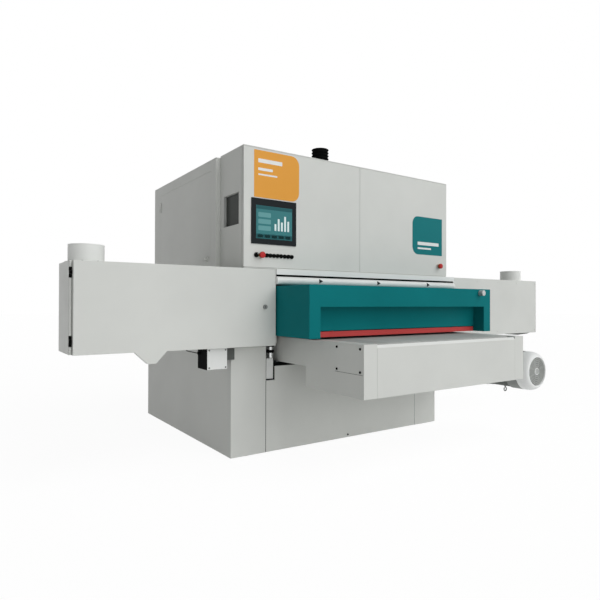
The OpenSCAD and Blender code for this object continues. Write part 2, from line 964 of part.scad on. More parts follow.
module junction_box() {
    mid_x = (jbox_x0 + jbox_x1) / 2;
    y1 = jbox_y0 + jbox_d;
    bracket_z = jbox_z1 - jbox_bracket_drop;
    color(black) difference() {
        union() {
            block(jbox_x0, jbox_x1, jbox_y0, y1, jbox_z0, jbox_z1);
            block(jbox_x1 - jbox_wall, base_left + jbox_bracket_lap, base_front - jbox_bracket_t, base_front,
                bracket_z - jbox_bracket_h / 2, bracket_z + jbox_bracket_h / 2);
            rod_x(jbox_gland_d / 2, jbox_x0 - jbox_gland_len, jbox_x0 + jbox_wall, cable_y, cable_z);
        }
        block(jbox_x0 + jbox_wall, jbox_x1 - jbox_wall, jbox_y0 + jbox_wall, y1 - jbox_wall,
            jbox_z0 + jbox_wall, jbox_z1 - jbox_wall);
        rod_z(jbox_gland_d / 2, jbox_z0 - cut, jbox_z0 + jbox_wall + cut, mid_x, cable_y);
    }
}

// Lead that climbs from the box's gland and turns up into the arm's floor, drawn level and tilted
module junction_cable() {
    turn = 90 - cable_slope;
    lift = arm_z0 - air - cable_z - cable_bend * cos(cable_slope);
    climb = lift / sin(cable_slope);
    x0 = jbox_x0 - jbox_gland_len - cable_d / 2 * sin(cable_slope);
    color(black) translate([x0, cable_y, cable_z]) rotate([0, cable_slope, 0]) {
        rod_x(cable_d / 2, -climb, 0, 0, 0);
        translate([-climb, 0, cable_bend]) rotate([-90, 0, 0]) rotate([0, 0, 90])
            rotate_extrude(angle = turn) translate([cable_bend, 0]) circle(cable_d / 2);
    }
}

// Head

module head_left_wall() {
    color(paint) difference() {
        union() {
            block(head_left, head_left + head_wall, cab_back, head_back, wall_z0, head_top - head_wall);
            block(head_left, cab_left + return_lap, cab_back, cab_back + head_wall,
                cab_z0, head_top - head_wall);
            for (s = service_hinge_shares) {
                z = service_z0 + s * service_h;
                service_knuckle(z - service_hinge_h / 2, z - service_hinge_h / 6 - knuckle_gap, 1);
                service_knuckle(z + service_hinge_h / 6 + knuckle_gap, z + service_hinge_h / 2, 1);
                rod_z(service_pin_d / 2, z - service_hinge_h / 2, z + service_hinge_h / 2,
                    service_axis_x, service_axis_y);
            }
        }
        block(head_left - service_barrel_d - cut, head_left + head_wall + cut, service_y0 - service_gap,
            service_y1 - service_leaf_w, service_z0 - service_gap, service_z1 + service_gap);
        block(head_left, head_left + head_wall + cut, service_y0 - service_gap, service_y1 + service_gap,
            service_z0 - service_gap, service_z1 + service_gap);
    }
}

// Barrel and leaf of a service door hinge, with the leaf towards the rear (1) or the front (-1)
module service_knuckle(z0, z1, side) {
    rod_z(service_barrel_d / 2, z0, z1, service_axis_x, service_axis_y);
    y_far = service_axis_y + side * service_leaf_w;
    block(head_left - service_leaf_t, head_left, min(service_axis_y, y_far), max(service_axis_y, y_far),
        z0, z1);
}

// Front or back plate of the head, with the pass for the work cut out of its lower edge
module pass_plate(x0, x1, y0, y1, z0, z1) {
    difference() {
        block(x0, x1, y0, y1, z0, z1);
        block(-pass_half, pass_half, y0 - cut, y1 + cut, z0 - cut, pass_z);
    }
}

module jack_bracket(x, y0, y1) {
    block(x - bracket_half, x + bracket_half, y0, y1, bracket_z0, bracket_z0 + bracket_h);
}

module head_outer_walls() {
    y0 = head_back - head_wall;
    color(paint) {
        difference() {
            block(head_right - head_wall, head_right, cab_back, head_back,
                right_wall_z0, head_top - head_wall - seam);
            rod_x(shaft_way, head_right - head_wall - cut, head_right + cut, unit_y, contact_z);
        }
        block(cab_right - return_lap, head_right, cab_back, cab_back + head_wall,
            cab_z0, head_top - head_wall - seam);
        pass_plate(head_left + head_wall, head_right - head_wall - seam, y0, head_back,
            bracket_z0, head_top - head_wall - seam);
        for (x = jack_xs)
            jack_bracket(x, jack_y_rear - bracket_half, y0 + seam);
        block(head_left, head_right, cab_back, head_back, head_top - head_wall, head_top);
    }
}

module head_front_plate() {
    color(paint) {
        pass_plate(head_left, head_right, front_plate_y, cab_back, bracket_z0, cab_z0);
        for (x = jack_xs)
            jack_bracket(x, jack_y_front - bracket_half, cab_back);
    }
}

module lift_spindles() {
    color(steel)
        for (x = jack_xs)
            for (y = jack_ys)
                rod_z(spindle_d / 2, spindle_low, bracket_z0, x, y);
}

// Cabinet

module cabinet_shell() {
    color(paint) difference() {
        union() {
            block(cab_left, cab_right, cab_front, cab_back, cab_top - cab_wall, cab_top);
            block(cab_left, cab_right, cab_front, cab_back, cab_z0, cab_z0 + cab_wall);
            block(cab_left, cab_left + cab_wall, shell_front, cab_back, cab_z0, cab_top);
            block(cab_right - cab_wall, cab_right, shell_front, cab_back, cab_z0, cab_top);
            block(cab_left, cab_right, cab_back - cab_wall, cab_back, cab_z0, cab_top);
            block(cab_left, cab_left + window_depth + skin_t,
                window_y0 - skin_t, window_y0 + window_len + skin_t,
                window_z0 - skin_t, window_z0 + window_h + skin_t);
        }
        block(cab_left - cut, cab_left + window_depth, window_y0, window_y0 + window_len,
            window_z0, window_z0 + window_h);
        for (x = [left_hinge_x, right_hinge_x])
            rod_z(hinge_pin_d / 2 + run, cab_z0 - cut, cab_top + cut, x, hinge_y);
        rod_z(port_d / 2 - port_wall, cab_top - cab_wall - cut, cab_top + cut, port_x, port_y);
    }
}

module control_gear() {
    x0 = cab_left + gear_margin;
    plate_w = cab_right - gear_margin - x0;
    z0 = cab_z0 + gear_margin;
    plate_h = cab_top - gear_margin - z0;
    y1 = cab_back - cab_wall;
    room = y1 - shell_front;
    color(steel) {
        block(x0, x0 + plate_w, y1 - gear_t, y1, z0, z0 + plate_h);
        for (g = gear_shares)
            block(x0 + g[0] * plate_w, x0 + (g[0] + g[1]) * plate_w, y1 - gear_t - g[4] * room, y1,
                z0 + g[2] * plate_h, z0 + (g[2] + g[3]) * plate_h);
    }
}

module cabinet_hinge_pins() {
    color(steel)
        for (x = [left_hinge_x, right_hinge_x]) {
            rod_z(hinge_pin_d / 2, cab_z0, door_z0 + hinge_bite, x, hinge_y);
            rod_z(hinge_pin_d / 2, door_z1 - hinge_bite, cab_top, x, hinge_y);
        }
}

module exhaust_port() {
    pitch = port_h / (port_rib_count + 1);
    color(black) difference() {
        union() {
            rod_z(port_d / 2, cab_top, cab_top + port_h, port_x, port_y);
            rod_z(port_d / 2 + port_flange_w, cab_top, cab_top + port_rib, port_x, port_y);
            for (i = [1 : port_rib_count + 1])
                rod_z(port_d / 2 + port_rib, cab_top + i * pitch - port_rib, cab_top + i * pitch,
                    port_x, port_y);
        }
        rod_z(port_d / 2 - port_wall, cab_top - cut, cab_top + port_h + cut, port_x, port_y);
    }
}

// A cabinet door: a pan with a hinge block in each hinge corner
module door_pan(x0, x1, hinge_x) {
    block_x0 = hinge_x < door_seam_x ? x0 : x1 - hinge_block;
    difference() {
        block(x0, x1, cab_front, door_back, door_z0, door_z1);
        difference() {
            block(x0 + skin_t, x1 - skin_t, cab_front + skin_t, door_back + cut,
                door_z0 + skin_t, door_z1 - skin_t);
            block(block_x0, block_x0 + hinge_block, cab_front, door_back, door_z0, door_z0 + hinge_bite);
            block(block_x0, block_x0 + hinge_block, cab_front, door_back, door_z1 - hinge_bite, door_z1);
        }
        rod_z(hinge_pin_d / 2 + run, door_z0 - cut, door_z0 + hinge_bite + cut, hinge_x, hinge_y);
        rod_z(hinge_pin_d / 2 + run, door_z1 - hinge_bite - cut, door_z1 + cut, hinge_x, hinge_y);
    }
}

module collar(x, d) {
    rod_y(d / 2, cab_front - collar_t, cab_front + skin_t, x, row_z);
}

module stem_bore(x) {
    rod_y(stem_d / 2 + run, cab_front - collar_t - cut, cab_front + skin_t + cut, x, row_z);
}

function slot_x(i) = device_x + i * device_pitch;

module left_cabinet_door() {
    small_collar = stem_d + 2 * collar_w;
    color(paint) difference() {
        union() {
            door_pan(cab_left, door_seam_x - door_seam / 2, left_hinge_x);
            collar(selector_x, small_collar);
            collar(estop_x, estop_ring_d);
            for (i = [0 : device_count - 1])
                collar(slot_x(i), small_collar);
        }
        stem_bore(selector_x);
        stem_bore(estop_x);
        for (i = button_slots)
            stem_bore(slot_x(i));
        block(hmi_x0 + hmi_inset, hmi_x0 + hmi_w - hmi_inset, cab_front - cut, cab_front + skin_t + cut,
            hmi_z0 + hmi_inset, hmi_z0 + hmi_h - hmi_inset);
    }
}

module right_cabinet_door() {
    color(paint) difference() {
        union() {
            door_pan(door_seam_x + door_seam / 2, cab_right, right_hinge_x);
            collar(right_estop_x, estop_ring_d);
        }
        stem_bore(right_estop_x);
    }
}

module hmi_panel() {
    color(black) difference() {
        union() {
            block(hmi_x0, hmi_x0 + hmi_w, cab_front - hmi_stand, cab_front, hmi_z0, hmi_z0 + hmi_h);
            block(hmi_x0 + hmi_inset + seam, hmi_x0 + hmi_w - hmi_inset - seam, cab_front - seam,
                cab_front + hmi_depth, hmi_z0 + hmi_inset + seam, hmi_z0 + hmi_h - hmi_inset - seam);
        }
        x0 = hmi_x0 + screen_side_share * hmi_w;
        z0 = hmi_z0 + screen_low_share * hmi_h;
        block(x0, x0 + screen_w_share * hmi_w,
            cab_front - hmi_stand - cut, cab_front - hmi_stand + screen_sink,
            z0, z0 + screen_h_share * hmi_h);
    }
}

// Stem through the door skin with a lip behind it
module stem(x, front) {
    back = cab_front + skin_t + air;
    rod_y(stem_d / 2, cab_front - front, cab_front + stem_in, x, row_z);
    rod_y(stem_d / 2 + stem_lip, back, back + stem_lip_t, x, row_z);
}

module push_button(i) {
    color(black) stem(slot_x(button_slots[i]), cap_stand);
}

module button_1() {
    push_button(0);
}

module button_2() {
    push_button(1);
}

module button_3() {
    push_button(2);
}

module estop(x) {
    front = cab_front - mushroom_stand;
    color(red) {
        stem(x, mushroom_stand);
        rod_y(mushroom_d / 2, front - mushroom_t, front, x, row_z);
    }
}

module estop_left() {
    estop(estop_x);
}

module estop_right() {
    estop(right_estop_x);
}

module selector_switch() {
    front = cab_front - collar_t - air - selector_t;
    color(black) {
        stem(selector_x, collar_t + air);
        rod_y(selector_d / 2, front, front + selector_t, selector_x, row_z);
        block(selector_x - selector_bar_w / 2, selector_x + selector_bar_w / 2, front - selector_bar_t, front,
            row_z - selector_d / 2, row_z + selector_d / 2);
    }
}

// Hood and rail

module trip_ears(x) {
    near = hanger_t / 2 + ear_gap;
    for (s = [-1, 1]) {
        x0 = x + s * near;
        x1 = x + s * (near + ear_t);
        block(min(x0, x1), max(x0, x1), recess_y + hood_wall / 2, trip_pivot_y + ear_h / 2,
            trip_pivot_z - ear_h / 2, trip_pivot_z + ear_h / 2);
    }
    rod_x(trip_pin_d / 2, x - near - ear_t, x + near + ear_t, trip_pivot_y, trip_pivot_z);
}

module infeed_hood() {
    w = hood_wall;
    in = hood_half - w;
    color(teal) {
        difference() {
            block(-hood_half, hood_half, hood_front, hood_back, hood_z0, hood_top);
            block(recess_x0, recess_x1, hood_front - cut, recess_y, hood_z0 - cut, brow_z);
            block(-in, in, hood_front + w, hood_back - w, brow_z + w, hood_top - w);
            block(-in, in, recess_y + w, hood_back - w, hood_z0 - cut, brow_z + w + cut);
            block(-in, recess_x0 - w, hood_front + w, recess_y + w + cut, hood_z0 - cut, brow_z + w + cut);
            block(recess_x1 + w, in, hood_front + w, recess_y + w + cut, hood_z0 - cut, brow_z + w + cut);
            block(recess_x0, recess_x1, recess_y - cut, recess_y + w + cut, hood_z0 - cut,
                hood_z0 + trip_h + trip_gap);
            rod_y(knob_shaft_d / 2 + run, hood_front - cut, hood_front + w + cut, knob_x, knob_z);
        }
        for (x = [-trip_x, trip_x])
            trip_ears(x);
    }
}

module trip_hanger(x) {
    back = trip_pivot_y + hanger_half;
    block(x - hanger_t / 2, x + hanger_t / 2, hanger_front, back, hood_z0, trip_pivot_z + hanger_half);
    block(x - hanger_t / 2, x + hanger_t / 2, recess_y + trip_t / 2, back, hood_z0, hood_z0 + trip_h);
}

module trip_bar() {
    color(red) difference() {
        union() {
            block(recess_x0 + trip_side, recess_x1 - trip_side, recess_y, recess_y + trip_t,
                hood_z0, hood_z0 + trip_h);
            for (x = [-trip_x, trip_x])
                trip_hanger(x);
        }
        for (x = [-trip_x, trip_x])
            rod_x(trip_pin_d / 2 + run, x - hanger_t / 2 - cut, x + hanger_t / 2 + cut,
                trip_pivot_y, trip_pivot_z);
    }
}

module hood_rail() {
    half = arm_in - seam;
    low = rail_z - rail_d / 2;
    color(white) {
        rod_x(rail_d / 2, -half, half, rail_y, rail_z);
        block(-half, half, cab_front - seam, cab_front + rail_plate_t, low, cab_z0);
        block(-half, half, cab_front - rail_strip_t, cab_front, cab_z0 - rail_strip_h, cab_z0);
    }
}

module clamp_knob() {
    front = hood_front - knob_neck - knob_len;
    color(steel) difference() {
        union() {
            rod_y(knob_d / 2, front, front + knob_len, knob_x, knob_z);
            rod_y(knob_shaft_d / 2, front, hood_front + hood_wall + cut, knob_x, knob_z);
        }
        for (i = [0 : knob_lobes - 1]) {
            a = i * 360 / knob_lobes;
            rod_y(knob_flute_d / 2, front - cut, front + knob_len + cut,
                knob_x + knob_d / 2 * cos(a), knob_z + knob_d / 2 * sin(a));
        }
    }
}

// Arms

// Front view of the left arm's door with its dip, drawn in by a margin
function dip_x(i) = -arm_end + dip_shares[i] * arm_len;
module door_outline(margin) {
    x0 = -arm_end;
    top = arm_top - door_gap;
    low = arm_z0 + margin;
    polygon([
        [x0 + margin, low],
        [dip_x(0) + margin, low],
        [dip_x(1) + margin, low - dip_h],
        [dip_x(2) - margin, low - dip_h],
        [dip_x(3) - margin, low],
        [-arm_in - margin, low],
        [-arm_in - margin, top - margin],
        [x0 + margin, top - margin]
    ]);
}

module left_outline(margin) {
    translate([-casing_end + margin, arm_z0 + margin])
        square([casing_end - arm_in - 2 * margin, arm_top - arm_z0 - 2 * margin]);
}

module right_outline(margin, x1, top) {
    translate([arm_in + margin, arm_z0 + margin])
        square([x1 - arm_in - 2 * margin, top - arm_z0 - 2 * margin]);
}

// Way through an arm's inner end for the cross belt
module belt_window(side) {
    half = cross_belt_w / 2 + belt_way;
    x = side * (arm_in + arm_wall / 2);
    block(x - arm_wall - cut, x + arm_wall + cut, cross_y - half, cross_y + half,
        tool_z - belt_way, cross_z + grit_r + belt_way);
}

module arm_boss(x) {
    y1 = front_plate_y - arm_wall / 2;
    rod_y(boss_d / 2, y1 - boss_len, y1, x, cross_z);
}

module left_arm_casing() {
    y_in = front_plate_y - arm_wall;
    color(paint) difference() {
        union() {
            difference() {
                along_y(casing_front, front_plate_y) left_outline(0);
                along_y(casing_front + arm_wall, y_in) left_outline(arm_wall);
                along_y(casing_front - cut, casing_front + arm_wall + cut) left_outline(arm_flange);
                belt_window(-1);
            }
            arm_boss(-pulley_x);
        }
        rod_y(pulley_shaft_d / 2 + run, y_in - boss_len - cut, front_plate_y + cut, -pulley_x, cross_z);
        rod_z(spigot_hole_r, arm_top - arm_wall - cut, arm_top + cut, -spigot_x, spigot_y);
    }
}

module right_arm_casing() {
    y_in = front_plate_y - arm_wall;
    color(paint) difference() {
        union() {
            difference() {
                along_y(casing_front, front_plate_y) right_outline(0, casing_end, arm_top);
                along_y(casing_front + arm_wall, y_in) right_outline(arm_wall, casing_end, arm_top);
                along_y(casing_front - cut, casing_front + arm_wall + cut)
                    right_outline(arm_flange, casing_end, arm_top);
                belt_window(1);
            }
            arm_boss(pulley_x);
        }
        rod_y(pulley_shaft_d / 2 + run, y_in - boss_len - cut, y_in, pulley_x, cross_z);
        rod_z(spigot_hole_r, arm_top - arm_wall - cut, arm_top + cut, spigot_x, spigot_y);
    }
}

module right_arm_cover() {
    color(paint) difference() {
        along_y(cab_front, casing_front) right_outline(0, arm_end, arm_top - door_gap);
        along_y(cab_front + skin_t, casing_front + cut) right_outline(skin_t, arm_end, arm_top - door_gap);
    }
}

function arm_hinge_z(i) = arm_z0 + arm_hinge_shares[i] * arm_h;

module left_arm_door() {
    back = cab_front + arm_door_t;
    color(paint) difference() {
        union() {
            difference() {
                along_y(cab_front, back) door_outline(0);
                along_y(cab_front + skin_t, back + cut) door_outline(skin_t);
            }
            for (i = [0, 1]) {
                z0 = arm_hinge_z(i) - arm_hinge_h / 6;
                z1 = arm_hinge_z(i) + arm_hinge_h / 6;
                rod_z(arm_barrel_d / 2, z0, z1, arm_axis_x, arm_axis_y);
                block(arm_axis_x, -arm_end + skin_t / 2, arm_axis_y - arm_barrel_d / 2, arm_axis_y, z0, z1);
            }
        }
        for (i = [0, 1])
            rod_z(arm_pin_d / 2 + run, arm_hinge_z(i) - arm_hinge_h, arm_hinge_z(i) + arm_hinge_h,
                arm_axis_x, arm_axis_y);
        rod_y(latch_shaft_d / 2 + run, cab_front - cut, cab_front + skin_t + cut, latch_x, latch_z);
    }
}

module arm_hinges() {
    r = arm_barrel_d / 2;
    color(black)
        for (i = [0, 1]) {
            z = arm_hinge_z(i);
            rod_z(arm_pin_d / 2, z - arm_hinge_h / 2, z + arm_hinge_h / 2, arm_axis_x, arm_axis_y);
            for (span = [[-1 / 2, -1 / 6], [1 / 6, 1 / 2]]) {
                z0 = z + span[0] * arm_hinge_h + (span[0] > 0 ? knuckle_gap : 0);
                z1 = z + span[1] * arm_hinge_h - (span[0] > 0 ? 0 : knuckle_gap);
                rod_z(r, z0, z1, arm_axis_x, arm_axis_y);
                block(arm_axis_x - r, arm_axis_x, arm_axis_y, casing_front, z0, z1);
            }
        }
}

// Fixed hinge parts of the cabinet doors and the left arm door
module door_hinges() {
    cabinet_hinge_pins();
    arm_hinges();
}

module arm_latch() {
    back = cab_front + skin_t + air;
    color(black) {
        rod_y(latch_shaft_d / 2, cab_front - air - latch_t, back + latch_t, latch_x, latch_z);
        rod_y(latch_d / 2, cab_front - air - latch_t, cab_front - air, latch_x, latch_z);
        block(latch_x - latch_cam_w / 2, latch_x + latch_cam_w / 2, back, back + latch_t,
            latch_z - latch_cam_w / 2, latch_z + latch_cam_len);
    }
}

module dust_spigot(x) {
    r = spigot_d / 2;
    color(paint) difference() {
        union() {
            rod_z(r, arm_top, arm_top + spigot_h, x, spigot_y);
            rod_z(r + spigot_flange_w, arm_top, arm_top + spigot_flange_t, x, spigot_y);
        }
        rod_z(r - spigot_wall, arm_top - cut, arm_top + spigot_h + cut, x, spigot_y);
    }
}

module dust_spigot_left() {
    dust_spigot(-spigot_x);
}

module dust_spigot_right() {
    dust_spigot(spigot_x);
}

// Cross belt unit

module cross_belt() {
    half = cross_belt_w / 2;
    color(grit) along_y(cross_y - half, cross_y + half)
        translate([-pulley_x, cross_z]) loop(pulley_d / 2 + air, grit_r, 2 * pulley_x);
}

module cross_beam() {
    low = tool_z + grit_t + air;
    top = cross_z + pulley_d / 2 - beam_lip;
    half = cross_belt_w / 2;
    color(steel) {
        difference() {
            block(-hood_half, hood_half, hood_back, front_plate_y, low + beam_lip, top);
            block(-hood_half - cut, hood_half + cut, hood_back + beam_wall, front_plate_y - beam_wall,
                low + beam_lip + beam_wall, top - beam_wall);
        }
        block(-hood_half, hood_half, cross_y - half, cross_y + half, low, low + beam_lip + beam_wall / 2);
    }
}

module cross_pulley(x, back) {
    r = pulley_d / 2;
    half = cross_belt_w / 2 + pulley_side;
    color(steel) {
        difference() {
            rod_y(r, cross_y - half, cross_y + half, x, cross_z);
            rod_y(r - pulley_rim, cross_y - half - cut, cross_y + half + cut, x, cross_z);
        }
        rod_y(r - pulley_rim / 2, cross_y - pulley_web / 2, cross_y + pulley_web / 2, x, cross_z);
        rod_y(pulley_shaft_d / 2, cross_y - half - pulley_stub, back, x, cross_z);
    }
}

module cross_drive_pulley() {
    cross_pulley(-pulley_x, front_plate_y + motor_socket);
}

module cross_idler_pulley() {
    cross_pulley(pulley_x, front_plate_y - arm_wall - air);
}

module sander_motors() {
    color(motor_grey) {
        difference() {
            rod_x(wide_motor_d / 2, head_right, head_right + wide_motor_len, unit_y, contact_z);
            rod_x(drum_shaft_d / 2 + run, head_right - cut, head_right + motor_socket + cut,
                unit_y, contact_z);
        }
        difference() {
            rod_y(cross_motor_d / 2, front_plate_y, front_plate_y + cross_motor_len, -pulley_x, cross_z);
            rod_y(pulley_shaft_d / 2 + run, front_plate_y - cut, front_plate_y + motor_socket + cut,
                -pulley_x, cross_z);
        }
    }
}

// Wide belt unit

module wide_belt() {
    color(grit) along_x(-wide_belt_w / 2, wide_belt_w / 2)
        translate([unit_y, contact_z]) rotate(90) loop(drum_r + air, drum_r + air + grit_t, drum_rise);
}

module drum(z, right_end) {
    difference() {
        rod_x(drum_r, -drum_half, drum_half, unit_y, z);
        rod_x(drum_r - drum_tube, -drum_half - cut, drum_half + cut, unit_y, z);
    }
    both_sides() difference() {
        rod_x(drum_r - drum_tube / 2, drum_half - drum_web_in - drum_web, drum_half - drum_web_in, unit_y, z);
        for (a = [0 : 90 : 270])
            rod_x(drum_web_hole_d / 2,
                drum_half - drum_web_in - drum_web - cut, drum_half - drum_web_in + cut,
                unit_y + drum_web_hole_r * cos(a), z + drum_web_hole_r * sin(a));
    }
    rod_x(drum_shaft_d / 2, -cheek_out, right_end, unit_y, z);
}

module contact_roller() {
    color(rubber) drum(contact_z, head_right + motor_socket);
}

module tension_roller() {
    color(steel) drum(tension_z, cheek_out);
}

module unit_beam() {
    half = unit_beam_w / 2;
    top = unit_beam_z0 + unit_beam_h;
    end = head_right - head_wall;
    color(steel) difference() {
        union() {
            difference() {
                block(-cheek_out, end, unit_y - half, unit_y + half, unit_beam_z0, top);
                block(-cheek_out - cut, end - unit_tube, unit_y - half + unit_tube, unit_y + half - unit_tube,
                    unit_beam_z0 + unit_tube, top - unit_tube);
            }
            both_sides() block(cheek_in, cheek_out, unit_y - half, unit_y + half,
                contact_z - cheek_w / 2, unit_beam_z0 + unit_tube / 2);
            rod_z(guide_boss_d / 2, unit_beam_z0 + unit_tube / 2, top - unit_tube / 2, 0, unit_y);
        }
        rod_x(drum_shaft_d / 2 + run, -cheek_out - cut, cheek_out + cut, unit_y, contact_z);
        rod_z(guide_d / 2 + run, unit_beam_z0 + unit_tube, top + cut, 0, unit_y);
    }
}

module tension_yoke() {
    bar_top = tension_z - drum_r - yoke_gap;
    bar_low = bar_top - yoke_bar_h;
    guide_low = unit_beam_z0 + unit_tube + yoke_travel + yoke_gap;
    color(steel) difference() {
        union() {
            block(-cheek_out, cheek_out, unit_y - yoke_bar_w / 2, unit_y + yoke_bar_w / 2, bar_low, bar_top);
            both_sides() block(cheek_in, cheek_out, unit_y - cheek_w / 2, unit_y + cheek_w / 2,
                bar_low, tension_z + cheek_w / 2);
            rod_z(guide_d / 2, guide_low, bar_low + yoke_bar_h / 2, 0, unit_y);
        }
        rod_x(drum_shaft_d / 2 + run, -cheek_out - cut, cheek_out + cut, unit_y, tension_z);
    }
}

// Service door

module service_door() {
    x1 = head_left + service_t;
    color(paint) difference() {
        union() {
            difference() {
                block(head_left, x1, service_y0, service_y1, service_z0, service_z1);
                block(head_left + skin_t, x1 + cut, service_y0 + skin_t, service_y1 - skin_t,
                    service_z0 + skin_t, service_z1 - skin_t);
            }
            rod_x(handle_boss_d / 2, head_left, head_left + service_t, handle_y, handle_z);
            for (s = service_hinge_shares) {
                z = service_z0 + s * service_h;
                service_knuckle(z - service_hinge_h / 6, z + service_hinge_h / 6, -1);
            }
        }
        for (s = service_hinge_shares) {
            z = service_z0 + s * service_h;
            rod_z(service_pin_d / 2 + run, z - service_hinge_h, z + service_hinge_h,
                service_axis_x, service_axis_y);
        }
        rod_x(handle_shaft_d / 2 + run, head_left - cut, x1 + cut, handle_y, handle_z);
    }
}

module service_handle() {
    x_out = head_left - air - handle_rose_t - handle_stand;
    color(black) {
        rod_x(handle_rose_d / 2, head_left - air - handle_rose_t, head_left - air, handle_y, handle_z);
        rod_x(handle_shaft_d / 2, x_out, head_left + service_t + handle_rose_t, handle_y, handle_z);
        block(x_out, x_out + handle_w, handle_y - handle_w / 2, handle_y + handle_len,
            handle_z - handle_w / 2, handle_z + handle_w / 2);
    }
}

base_left_pedestal();
base_right_pedestal();
base_cross_beams();
base_panels();
levelling_feet();
lift_jacks();
table_frame();
bed_plate();
feed_belt();
table_aprons();
table_caps();
roller_bearings();
feed_gearbox();
feed_motor();
feed_chain();
junction_box();
junction_cable();
nose_roller();
tail_roller();
drive_sprocket();
head_left_wall();
head_outer_walls();
head_front_plate();
lift_spindles();
cabinet_shell();
control_gear();
exhaust_port();
infeed_hood();
hood_rail();
left_arm_casing();
right_arm_casing();
right_arm_cover();
dust_spigot_left();
dust_spigot_right();
door_hinges();
cross_beam();
cross_belt();
sander_motors();
wide_belt();
unit_beam();
left_cabinet_door();
hmi_panel();
right_cabinet_door();
selector_switch();
estop_left();
button_1();
button_2();
button_3();
estop_right();
left_arm_door();
arm_latch();
service_door();
service_handle();
trip_bar();
clamp_knob();
cross_drive_pulley();
cross_idler_pulley();
contact_roller();
tension_roller();
tension_yoke();
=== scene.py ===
"""Looks of the wide belt sander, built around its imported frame.

Metres, +X along the cross belt, +Y along the feed, +Z up.
"""
import json
import math

import bmesh
import bpy
from mathutils import Matrix, Vector

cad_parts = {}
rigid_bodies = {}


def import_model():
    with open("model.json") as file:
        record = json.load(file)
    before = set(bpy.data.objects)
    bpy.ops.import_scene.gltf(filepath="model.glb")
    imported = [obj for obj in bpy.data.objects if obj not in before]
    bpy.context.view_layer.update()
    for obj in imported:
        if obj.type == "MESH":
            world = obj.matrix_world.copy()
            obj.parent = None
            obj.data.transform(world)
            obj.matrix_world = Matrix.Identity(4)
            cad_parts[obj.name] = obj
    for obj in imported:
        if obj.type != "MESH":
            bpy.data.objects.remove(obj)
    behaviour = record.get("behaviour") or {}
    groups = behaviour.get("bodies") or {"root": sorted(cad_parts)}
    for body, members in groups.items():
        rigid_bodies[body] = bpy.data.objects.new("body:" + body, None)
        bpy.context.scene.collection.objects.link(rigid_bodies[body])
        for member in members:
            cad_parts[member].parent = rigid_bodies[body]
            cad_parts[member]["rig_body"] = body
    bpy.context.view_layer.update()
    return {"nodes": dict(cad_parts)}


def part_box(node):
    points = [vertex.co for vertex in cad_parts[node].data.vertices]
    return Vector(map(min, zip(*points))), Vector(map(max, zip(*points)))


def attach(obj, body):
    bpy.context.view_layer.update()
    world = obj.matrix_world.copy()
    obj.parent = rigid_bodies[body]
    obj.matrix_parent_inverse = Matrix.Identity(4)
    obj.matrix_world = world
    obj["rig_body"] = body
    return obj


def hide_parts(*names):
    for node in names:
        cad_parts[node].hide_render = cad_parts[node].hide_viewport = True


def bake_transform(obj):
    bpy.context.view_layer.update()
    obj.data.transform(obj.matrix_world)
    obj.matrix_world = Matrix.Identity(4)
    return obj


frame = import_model()


def add_object(name, data):
    made = bpy.data.objects.new(name, data)
    bpy.context.scene.collection.objects.link(made)
    return made


# Camera, from a fit to the straight edges of the machine; angles in degrees

CAMERA_AT = (-3.0607, -4.0033, 1.1736)
CAMERA_YAW = 34.267
CAMERA_PITCH = 0.417
CAMERA_ROLL = 0.147
LENS_MM = 30.936
SENSOR_MM = 36.0


def make_camera():
    data = bpy.data.cameras.new("camera")
    data.lens = LENS_MM
    data.sensor_width = SENSOR_MM
    camera = add_object("camera", data)
    place = Matrix.Translation(CAMERA_AT)
    for degrees, axis in ((-CAMERA_YAW, "Z"), (90 + CAMERA_PITCH, "X"), (CAMERA_ROLL, "Z")):
        place = place @ Matrix.Rotation(math.radians(degrees), 4, axis)
    camera.matrix_world = place
    bpy.context.scene.camera = camera


# Material helpers

def srgb(*display):
    """Linear colour of an 8-bit display colour."""
    shares = [value / 255 for value in display]
    linear = [s / 12.92 if s <= 0.04045 else ((s + 0.055) / 1.055) ** 2.4 for s in shares]
    return (*linear, 1.0)


def shade(colour, factor):
    return tuple(min(1.0, c * factor) for c in colour[:3]) + (1.0,)


def put(socket, value):
    """Sets a socket to a value, or links it to another node's output."""
    if isinstance(value, bpy.types.NodeSocket):
        socket.id_data.links.new(value, socket)
    else:
        socket.default_value = value


def fill(node, **inputs):
    for name, value in inputs.items():
        put(node.inputs[name.replace("_", " ")], value)


def add_node(tree, kind, **inputs):
    made = tree.nodes.new(kind)
    fill(made, **inputs)
    return made


def new_material(name):
    made = bpy.data.materials.new(name)
    made.use_nodes = True
    return made, made.node_tree, made.node_tree.nodes["Principled BSDF"]


def texture_space(tree, stretch=(1, 1, 1)):
    place = add_node(tree, "ShaderNodeTexCoord").outputs["Object"]
    return add_node(tree, "ShaderNodeMapping", Vector=place, Scale=stretch).outputs["Vector"]


def noise(tree, space, scale, detail=3.0, rough=0.5):
    made = add_node(tree, "ShaderNodeTexNoise", Vector=space, Scale=scale, Detail=detail, Roughness=rough)
    return made.outputs["Fac"]


def cells(tree, scale):
    """Distance to the nearest of many scattered points."""
    return add_node(tree, "ShaderNodeTexVoronoi", Vector=texture_space(tree), Scale=scale).outputs["Distance"]


def between(tree, factor, low, high, start=0.0, end=1.0):
    """A number that runs from low to high as factor runs from start to end."""
    ends = {"From_Min": start, "From_Max": end, "To_Min": low, "To_Max": high}
    return add_node(tree, "ShaderNodeMapRange", Value=factor, **ends).outputs["Result"]


def blend_colours(tree, factor, first, second):
    made = add_node(tree, "ShaderNodeMix", Factor=factor)
    made.data_type = "RGBA"
    put(made.inputs[6], first)
    put(made.inputs[7], second)
    return made.outputs[2]


